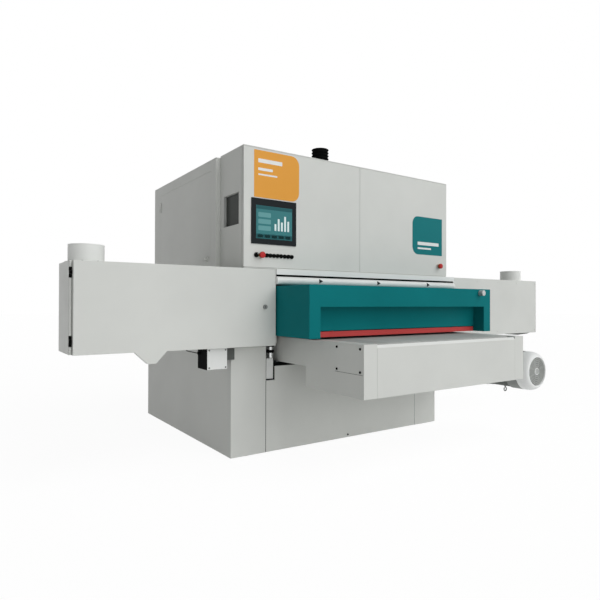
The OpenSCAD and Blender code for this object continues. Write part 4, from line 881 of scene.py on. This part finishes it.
def make_cap_plates():
    """Thin cover plates over the roller ends on both table sides, each with four black screws and a dark
    strip under its foot as a painted shadow line.
    """
    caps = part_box("table_caps")
    near, far, foot, top = mm(-1504, -1216, 716, 900)
    for name, axis, side, face in (("left", "-x", -1, caps[0][0]), ("right", "x", 1, caps[1][0])):
        bm = bmesh.new()
        outer = face + side * 0.0018
        slab(bm, (min(face, outer), near, foot), (max(face, outer), far, top), 0.0008)
        # Dark strip under the plate's foot: a painted shadow line
        shadow_line_face = face + side * 0.0004
        slab(bm, (min(face, shadow_line_face), near, foot - 0.0030), (max(face, shadow_line_face), far, foot), index=1)
        piece(name + "_cap_plate", bm, ["paint", "bracket"], "base")
        places = [(outer, y, z) for y in mm(-1481, -1240) for z in mm(882, 732)]
        screws(name + "_cap_screws", places, axis, "base", 0.0085, "black")


def make_cap_tail():
    """Sheet tail that carries the left end cap on into the base, and a black sheet behind the front panel
    that paints the shade of the base's inside.
    """
    low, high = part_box("table_caps")
    thick = 0.004
    left, inner = low[0], low[0] + 0.049
    foot = low[2] + SHALLOW_RISE
    bm = bmesh.new()
    shape = [(left, foot), (inner, foot), (inner, foot + thick), (left + thick, foot + thick),
             (left + thick, high[2]), (left, high[2])]
    prism(bm, shape, "y", high[1], high[1] + 0.195)
    piece("left_cap_tail", bm, "paint", "base")
    panel_low, panel_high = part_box("base_panels")
    # Black sheet behind the front panel: painted shade of the base's inside
    bm = bmesh.new()
    slab(bm, (panel_low[0] + 0.085, panel_low[1] + 0.0135, 0.600),
         (panel_high[0] - 0.010, panel_low[1] + 0.0185, foot - 0.001), 0.001)
    piece("panel_shade_sheet", bm, "black", "base")


# Motors

FEED_MOTOR_RADIUS = 0.167
MOTOR_FINISH = ["motor", "black", "screw", "guard_deep", "guard", "motor_shaded_body"]
COWL, GLAND, SCREW, BACK, WIRE, SHADED_BODY = range(6)


def motor(bm, base, axis, length, frame_r, flange_r, cowl_r, cowl_len, shoulder, fins):
    """A finned motor: flange at its base, frame with fins, and a fan cowl whose end has a wire guard.

    The shoulder is the radial and the axial reach of the cowl's rounded end.
    """
    core = frame_r - 0.013
    cowl_start = length - cowl_len
    flange = 0.014
    edge = 0.002
    profile = [(flange_r - edge, 0), (flange_r, edge), (flange_r, flange - edge), (flange_r - edge, flange),
               (core, flange), (core, cowl_start + 0.004)]
    # Flange, frame and fins in the darker enamel, which is painted shade
    lathe(bm, base, axis, profile, 48, SHADED_BODY)
    plates(bm, base, axis, fins, core - 0.002, frame_r, flange + 0.012, cowl_start - 0.008, 0.0034, SHADED_BODY)
    across, deep = shoulder
    face_r = cowl_r - across
    # The cowl's sleeve also takes the darker enamel as painted shade; only its rounded end is pale
    sleeve_end = length - deep - 0.022
    profile = [(core - 0.004, cowl_start), (cowl_r - edge, cowl_start), (cowl_r, cowl_start + edge),
               (cowl_r, sleeve_end)]
    lathe(bm, base, axis, profile, 56, SHADED_BODY)
    floor = length - 0.010
    back = face_r - 0.005
    profile = [(core - 0.004, sleeve_end), (cowl_r, sleeve_end)]
    for a in along(0, math.pi / 2, 11):
        profile.append((face_r + across * math.cos(a), length - deep + deep * math.sin(a)))
    profile += [(face_r - 0.003, length), (back, floor), (core - 0.010, floor)]
    lathe(bm, base, axis, profile, 56, COWL)
    lathe(bm, base, axis, [(back, floor + 0.0004), (back, floor + 0.0012), (0, floor + 0.0012)], 48, BACK)
    hub = face_r * 0.19
    hub_foot, hub_top = length - 0.009, length - 0.005
    band(bm, base, axis, hub * 1.08, face_r * 0.25, hub_foot, length - 0.001, 0.001, 36, COWL)
    lathe(bm, base, axis, [(hub - edge, hub_foot), (hub - edge, hub_top), (0, hub_top)], 28, WIRE)
    ring_r = face_r * 0.265 + 0.013
    half = 0.0042
    while ring_r < face_r - 0.006:
        band(bm, base, axis, ring_r - half, ring_r + half, length - 0.007, length - 0.002, 0.001, 44, WIRE)
        ring_r += 0.0155
    plates(bm, base, axis, 8, face_r * 0.26, face_r - 0.004, hub_foot, length - 0.0045, 0.0060, WIRE)
    socket_screws(bm, circle_of(base, axis, 8, (flange_r + core) / 2, flange), axis, 0.0045, 0.005, SCREW)


def make_motor_eye():
    """Small eye under the feed motor."""
    low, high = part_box("feed_motor")
    foot = Vector((low[0] + FEED_MOTOR_RADIUS, high[1] - 0.130, middle("feed_motor")[2] - 0.159))
    ring_r = 0.017
    bm = bmesh.new()
    lathe(bm, foot, "-z", [(0.011, -0.002), (0.011, 0.005), (0.006, 0.006), (0.006, ring_r)], 16)
    eye = foot - Vector((0, 0, 0.032))
    angles = [math.radians(a) for a in range(0, 316, 15)]
    tube(bm, [eye + ring_r * Vector((math.sin(a), 0, math.cos(a))) for a in angles], 0.005, 10)
    piece("motor_eye", bm, "screw", "base")


def make_feed_motor():
    """Feed motor with a terminal box on its right side and a cable gland under the box."""
    low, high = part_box("feed_motor")
    axis_x = low[0] + FEED_MOTOR_RADIUS
    axis_z = middle("feed_motor")[2]
    cowl_len = 0.210
    bm = bmesh.new()
    motor(bm, (axis_x, high[1], axis_z), "-y", high[1] - low[1], 0.160, 0.163, FEED_MOTOR_RADIUS, cowl_len,
          (0.042, 0.080), 44)
    mid_y = (low[1] + cowl_len + high[1]) / 2
    box_low = Vector((axis_x + 0.130, mid_y - 0.060, axis_z - 0.065))
    box_high = Vector((high[0] - 0.010, mid_y + 0.060, axis_z + 0.065))
    slab(bm, box_low, box_high, 0.006, COWL, 3)
    gap = 0.002
    slab(bm, (box_high[0] - gap, box_low[1] + gap, box_low[2] + gap),
         (high[0], box_high[1] - gap, box_high[2] - gap), 0.004, COWL, 2)
    socket_screws(bm, rim_places("x", high[0], box_low, box_high, 2, 2, 0.012), "x", 0.005, 0.004, SCREW)
    gland = (box_high[0] - 0.018, mid_y, box_low[2])
    profile = [(0.013, -0.001), (0.013, 0.010), (0.011, 0.012), (0.011, 0.020), (0.008, 0.024),
               (0.004, 0.024), (0, 0.022)]
    lathe(bm, gland, "-z", profile, 12, GLAND)
    piece("feed_motor_body", bm, MOTOR_FINISH, "base", replaces=("feed_motor",))


def make_gearbox_details():
    """Side cover, bolts, fill and drain plugs of the gearbox."""
    low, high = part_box("feed_gearbox")
    y, z = middle("feed_gearbox")[1], high[2] - 0.088
    cover = (high[0], y, z)
    bm = bmesh.new()
    profile = [(0.066, -0.002), (0.066, 0.004)] + arc(0.063, 0.004, 0.003, 0, 90, 3)
    profile += [(0.040, 0.007), (0.036, 0.004), (0, 0.004)]
    lathe(bm, cover, "x", profile)
    socket_screws(bm, circle_of(cover, "x", 6, 0.053, 0.007), "x", 0.0055, 0.005, 1)
    plug = [(0.011, -0.001), (0.011, 0.003), (0.008, 0.003), (0.008, 0.010), (0, 0.010)]
    for aside, up in ((-0.06, 0.03), (0.06, 0.03), (0.06, 0.10)):
        lathe(bm, (high[0], y + aside, low[2] + up), "x", plug, 6, 1)
    socket_screws(bm, circle_of((low[0] + 0.006, y, z), "x", 6, 0.048, 0), "-x", 0.005, 0.004, 1)
    piece("gearbox_details", bm, ["motor", "screw"], "base")


def make_sander_motors():
    """Motors of the wide belt, on the head's right wall, and of the cross belt, behind the left arm."""
    bm = bmesh.new()
    wall = high_of("head_outer_walls")[0]
    roller = middle("contact_roller")
    length = high_of("sander_motors")[0] - wall
    motor(bm, (wall, roller[1], roller[2]), "x", length, 0.158, 0.160, 0.160, 0.130, (0.024, 0.040), 44)
    cross = middle("cross_drive_pulley")
    back = high_of("left_arm_casing")[1]
    motor(bm, (cross[0], back, cross[2]), "y", 0.260, 0.128, 0.130, 0.130, 0.080, (0.020, 0.030), 36)
    piece("sander_motor_bodies", bm, MOTOR_FINISH, "head", replaces=("sander_motors",))


# Base

SPINDLE_RADIUS = 0.022
WIPER_RADIUS = 0.031
SLEEVE_RADIUS = 0.0285
SPINDLE_STEPS = (0.737, 0.784, 0.806, 0.832, 0.862)


def make_spindle_bands():
    """Steel sleeves and black wiper rings by turns around each spindle, and the front jack's pale cover."""
    low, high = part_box("lift_spindles")
    bm = bmesh.new()
    for place in rim_places("z", 0, low, high, 2, 2, SPINDLE_RADIUS):
        for i, (z0, z1) in enumerate(zip(SPINDLE_STEPS, SPINDLE_STEPS[1:])):
            outer, index = (WIPER_RADIUS, 0) if i % 2 else (SLEEVE_RADIUS, 1)
            band(bm, place, "z", SPINDLE_RADIUS - 0.0005, outer, z0, min(z1, high[2]), 0.002, 32, index)
    piece("spindle_sleeves", bm, ["black", "shaft_steel"], "head")
    front = low_of("lift_jacks")[1]
    bm = bmesh.new()
    slab(bm, (-0.992, front - 0.009, 0.581), (-0.930, front - 0.001, 0.742), 0.0015, steps=2)
    piece("jack_cover", bm, "white", "base")


def make_junction_box_cover():
    """Pale cover plate of the junction box with four corner screws, and the dark plate beside the box."""
    left, right, foot, top = mm(-1542, -1384, 699, 853)
    front = low_of("junction_box")[1]
    cover = front - 0.005
    bm = bmesh.new()
    slab(bm, (left + 0.002, cover, foot + 0.001), (right - 0.001, front + 0.001, top - 0.001), 0.002, steps=2)
    inset = 0.014
    places = [(x, cover, z) for x in (left + 0.016, right - inset) for z in (foot + inset, top - inset)]
    socket_screws(bm, places, "-y", 0.0062, 0.003, 1)
    piece("junction_cover", bm, ["white", "screw"], "base")
    base_front = low_of("base_panels")[1]
    bm = bmesh.new()
    slab(bm, (right, base_front - 0.0155, 0.7545), (-1.2885, base_front - 0.0135, 0.8375), 0.0008)
    piece("bracket_plate", bm, "bracket", "base")


LEAD_START = mm(-1556.8, -470, 811)
LEAD_TOP = 0.8567
LEAD_SLOPE = math.radians(14)
LEAD_BEND = 0.028
LEAD_RADIUS = 0.0035
GLAND_AT = mm(-1556, -470, 811)


def lead_points():
    """Middle line of the lead: a gentle climb from the gland, then a bend up into the arm."""
    start = Vector(LEAD_START)
    uphill = Vector((-math.cos(LEAD_SLOPE), 0, math.sin(LEAD_SLOPE)))
    bend_rise = LEAD_BEND * math.cos(LEAD_SLOPE)
    climb = (LEAD_TOP - start[2] - bend_rise) / math.sin(LEAD_SLOPE)
    points = [start + uphill * distance for distance in along(0, climb, 9)]
    centre = points[-1] + Vector((LEAD_BEND * math.sin(LEAD_SLOPE), 0, bend_rise))
    for a in along(LEAD_SLOPE, math.pi / 2, 11)[1:]:
        points.append(centre + LEAD_BEND * Vector((-math.sin(a), 0, -math.cos(a))))
    return points


def make_junction_cable():
    """Short lead from the junction box's gland up into the arm."""
    points = lead_points()
    bm = bmesh.new()
    tube(bm, points, LEAD_RADIUS, 12)
    lead = mesh_object("junction_lead", bm)
    lead.data.shade_smooth()
    lead.data.materials.append(MATERIALS["rubber"])
    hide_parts("junction_cable")
    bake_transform(lead)
    bm = bmesh.new()
    lathe(bm, GLAND_AT, "x", [(0.0055, -0.003), (0.009, 0.001), (0.0125, 0.002), (0.0125, 0.011)], 6)
    piece("junction_gland", bm, "black", "base")


def make_base_details():
    """Screw of the front panel, dark strips as painted shade in its seams, and screws of the rear panel."""
    low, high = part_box("base_panels")
    screws("front_panel_screw", [(-0.178, low[1], 0.036)], "-y", "base", 0.008, "black")
    bm = bmesh.new()
    # Dark and grey strips along the panel's seams: painted shade in the gaps
    for x, half, index in ((-1.007, 0.0025, 0), (0.652, 0.00125, 1)):
        slab(bm, (x - half, low[1] - 0.0006, 0.014), (x + half, low[1] + 0.002, 0.5715), index=index)
    piece("panel_seam_shade", bm, ["bracket", "duct"], "base")
    screws("rear_panel_screws", rim_places("y", high[1], low, high, 6, 3, 0.035), "y", "base", 0.007)


# Head and arms

LOUVRE_RISE = 0.007
LOUVRE_HALF = 0.011
LOUVRE_PITCH = 0.030
LOUVRE_COUNT = 8
REAR_PANELS = ((-1.15, 1.15, -0.24, 2.20), (-0.14, 1.15, 0.77, 2.20))
RIGHT_PANEL = (-0.05, 1.45, 0.95, 2.20)
ARM_HEIGHT = 0.579


def louvres(bm, wall, across, z, run, wide):
    """A column of pressed louvres that stand out of a wall and run along an axis."""
    reach = LOUVRE_PITCH * (LOUVRE_COUNT - 1) / 2
    for h in along(z - reach, z + reach, LOUVRE_COUNT):
        shape = [(wall, h - LOUVRE_HALF), (wall + LOUVRE_RISE, h - LOUVRE_HALF),
                 (wall + LOUVRE_RISE * 0.9, h - LOUVRE_HALF * 0.4), (wall, h + LOUVRE_HALF)]
        prism(bm, shape, run, across - wide / 2, across + wide / 2)


def make_head_details():
    """Access panels, louvres and screws on the head's rear and right walls, and screws on its roof."""
    low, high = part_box("head_outer_walls")
    right, back, roof = high
    sunk, edge, thick = 0.001, 0.001, 0.002
    inset, radius = 0.025, 0.007
    panel_back, panel_right = back + thick, right + thick
    bm = bmesh.new()
    places = []
    for x0, z0, x1, z1 in REAR_PANELS:
        slab(bm, (x0, back - sunk, z0), (x1, panel_back, z1), edge)
        for x in (x0 + 0.24, x1 - 0.24):
            louvres(bm, panel_back, x, z1 - 0.20, "x", 0.26)
        places += rim_places("y", panel_back, (x0, 0, z0), (x1, 0, z1), 4, 4, inset)
    y0, z0, y1, z1 = RIGHT_PANEL
    slab(bm, (right - sunk, y0, z0), (panel_right, y1, z1), edge)
    for y in (0.20, 0.70):
        louvres(bm, panel_right, y, 2.02, "y", 0.30)
    piece("access_panels", bm, "paint", "head")
    screws("rear_access_screws", places, "y", "head", radius)
    places = rim_places("x", panel_right, (0, y0, z0), (0, y1, z1), 4, 4, inset)
    screws("right_access_screws", places, "x", "head", radius)
    screws("roof_screws", rim_places("z", roof, low, high, 7, 5, 0.030), "z", "head", radius)


def make_hinge_bead():
    """Bead and leaf along the left arm door's hinge axis, and black sleeves on the door's knuckles."""
    low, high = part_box("left_arm_casing")
    foot = high[2] - ARM_HEIGHT
    barrel = 0.008
    x, y = low_of("left_arm_door")[0] + barrel, low[1] - 0.0095
    hinges = [foot + share * ARM_HEIGHT for share in (0.145, 0.872)]
    half = 0.034
    bead_r, edge = 0.0074, 0.001
    bead = bmesh.new()
    stops = [foot + 0.002] + [z + gap for z in hinges for gap in (-half, half)] + [high[2] - 0.004]
    for z0, z1 in zip(stops[::2], stops[1::2]):
        profile = [(0.0065, z0), (bead_r, z0 + edge), (bead_r, z1 - edge), (0.0065, z1)]
        lathe(bead, (x, y, 0), "z", profile, 24)
        slab(bead, (x - 0.0066, y, z0), (x + 0.0084, low[1] + 0.0005, z1))
    piece("hinge_bead", bead, "paint", "head")
    sleeves = bmesh.new()
    skin = 0.0004
    for z in hinges:
        z0, z1 = z - 0.0104, z + 0.0104
        band(sleeves, (x, y, 0), "z", barrel - 0.0005, barrel + skin, z0, z1, 0.0003, 24)
        slab(sleeves, (x, y - barrel - skin, z0), (x + 0.0094, y + skin, z1))
    piece("knuckle_sleeves", sleeves, "black", "left_arm_door")


def make_arm_details():
    """Cover screws, the lip under the right arm in a dark grey that paints its shade, the latch's key slot
    and screws on the arms' rear faces.
    """
    low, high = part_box("right_arm_cover")
    places = rim_places("y", low[1], low, high, 5, 3, 0.030)
    screws("right_cover_screws", places, "-y", "head", 0.005, "paint", 0.003)
    make_hinge_bead()
    bm = bmesh.new()
    # The lip's dark grey is painted shade
    prism(bm, [mm(2150, 857), mm(2150, 836), mm(2330, 845), mm(2395, 857)], "y", -0.640, -0.480)
    piece("right_arm_lip_shaded", bm, "bracket", "head")
    x = middle("arm_latch")[0]
    front, z = low_of("arm_latch")[1], low_of("arm_latch")[2] + 0.017
    half_w, half_h = 0.0022, 0.008
    bm = bmesh.new()
    slab(bm, (x - half_w, front - 0.0006, z - half_h), (x + half_w, front + 0.001, z + half_h), 0.0004)
    piece("latch_slot", bm, "black", "arm_latch")
    for name in ("left", "right"):
        low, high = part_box(name + "_arm_casing")
        places = rim_places("y", high[1], (low[0], 0, high[2] - ARM_HEIGHT), high, 7, 3, 0.030)
        screws(name + "_casing_screws", places, "y", "head", 0.006)


def standing_place(node):
    """The middle of a node's foot, and the node's height."""
    low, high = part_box(node)
    return (*middle(node)[:2], low[2]), high[2] - low[2]


def make_spigots():
    """Rolled sheet spigots with a beaded mouth, a folded flange and eight screws."""
    for node in ("dust_spigot_left", "dust_spigot_right"):
        place, tall = standing_place(node)
        flange = high_of(node)[0] - place[0]
        outer = flange - 0.020
        inner = outer - 0.003
        lip = 0.0015
        thick = 0.006
        groove = outer - 0.0012
        profile = [(inner, 0), (flange - lip, 0), (flange, lip), (flange, thick - lip), (flange - lip, thick)]
        profile += arc(outer + 0.005, 0.011, 0.005, 270, 180, 4)
        profile += [(outer, tall - 0.020), (groove, tall - 0.018), (groove, tall - 0.012)]
        profile += [(outer, tall - 0.010)] + arc(outer - lip, tall - lip, lip, 0, 180, 6)
        profile += [(inner, tall - 0.003)]
        bm = bmesh.new()
        lathe(bm, place, "z", profile, 72, closed=True)
        socket_screws(bm, circle_of(place, "z", 8, outer + 0.012, thick), "z", 0.005, 0.003, 1)
        piece(node + "_sheet", bm, ["spigot_and_lip_highlight", "screw"], "head", replaces=(node,))


def make_exhaust_port():
    """Moulded port with rounded ribs and a screwed flange."""
    place, tall = standing_place("exhaust_port")
    inner, tube_r = 0.059, 0.065
    flange, thick = 0.091, 0.008
    edge, half_rib = 0.002, 0.004
    count = 6
    profile = [(inner, 0), (flange - edge, 0), (flange, edge), (flange, thick - edge), (flange - edge, thick),
               (tube_r + 0.003, thick), (tube_r, thick + 0.003)]
    for i in range(1, count + 1):
        rib = i * tall / count - half_rib
        profile += [(tube_r, rib - half_rib - edge)]
        profile += arc(tube_r + half_rib, rib, half_rib, -90, 90, 6)
        if i < count:
            profile += [(tube_r, rib + half_rib + edge)]
    profile += [(inner, tall)]
    bm = bmesh.new()
    lathe(bm, place, "z", profile, 56, closed=True)
    socket_screws(bm, circle_of(place, "z", 6, 0.081, thick), "z", 0.004, 0.003, 1)
    piece("exhaust_port_ribs", bm, ["black", "screw"], "head", replaces=("exhaust_port",))


make_screen_pieces()
make_films()
make_control_row()
make_stop_buttons()
make_window()
make_control_gear_details()
make_rail_details()
make_knob_cap()
make_cap_plates()
make_cap_tail()
make_motor_eye()
make_feed_motor()
make_gearbox_details()
make_sander_motors()
make_spindle_bands()
make_junction_box_cover()
make_junction_cable()
make_base_details()
make_head_details()
make_arm_details()
make_spigots()
make_exhaust_port()
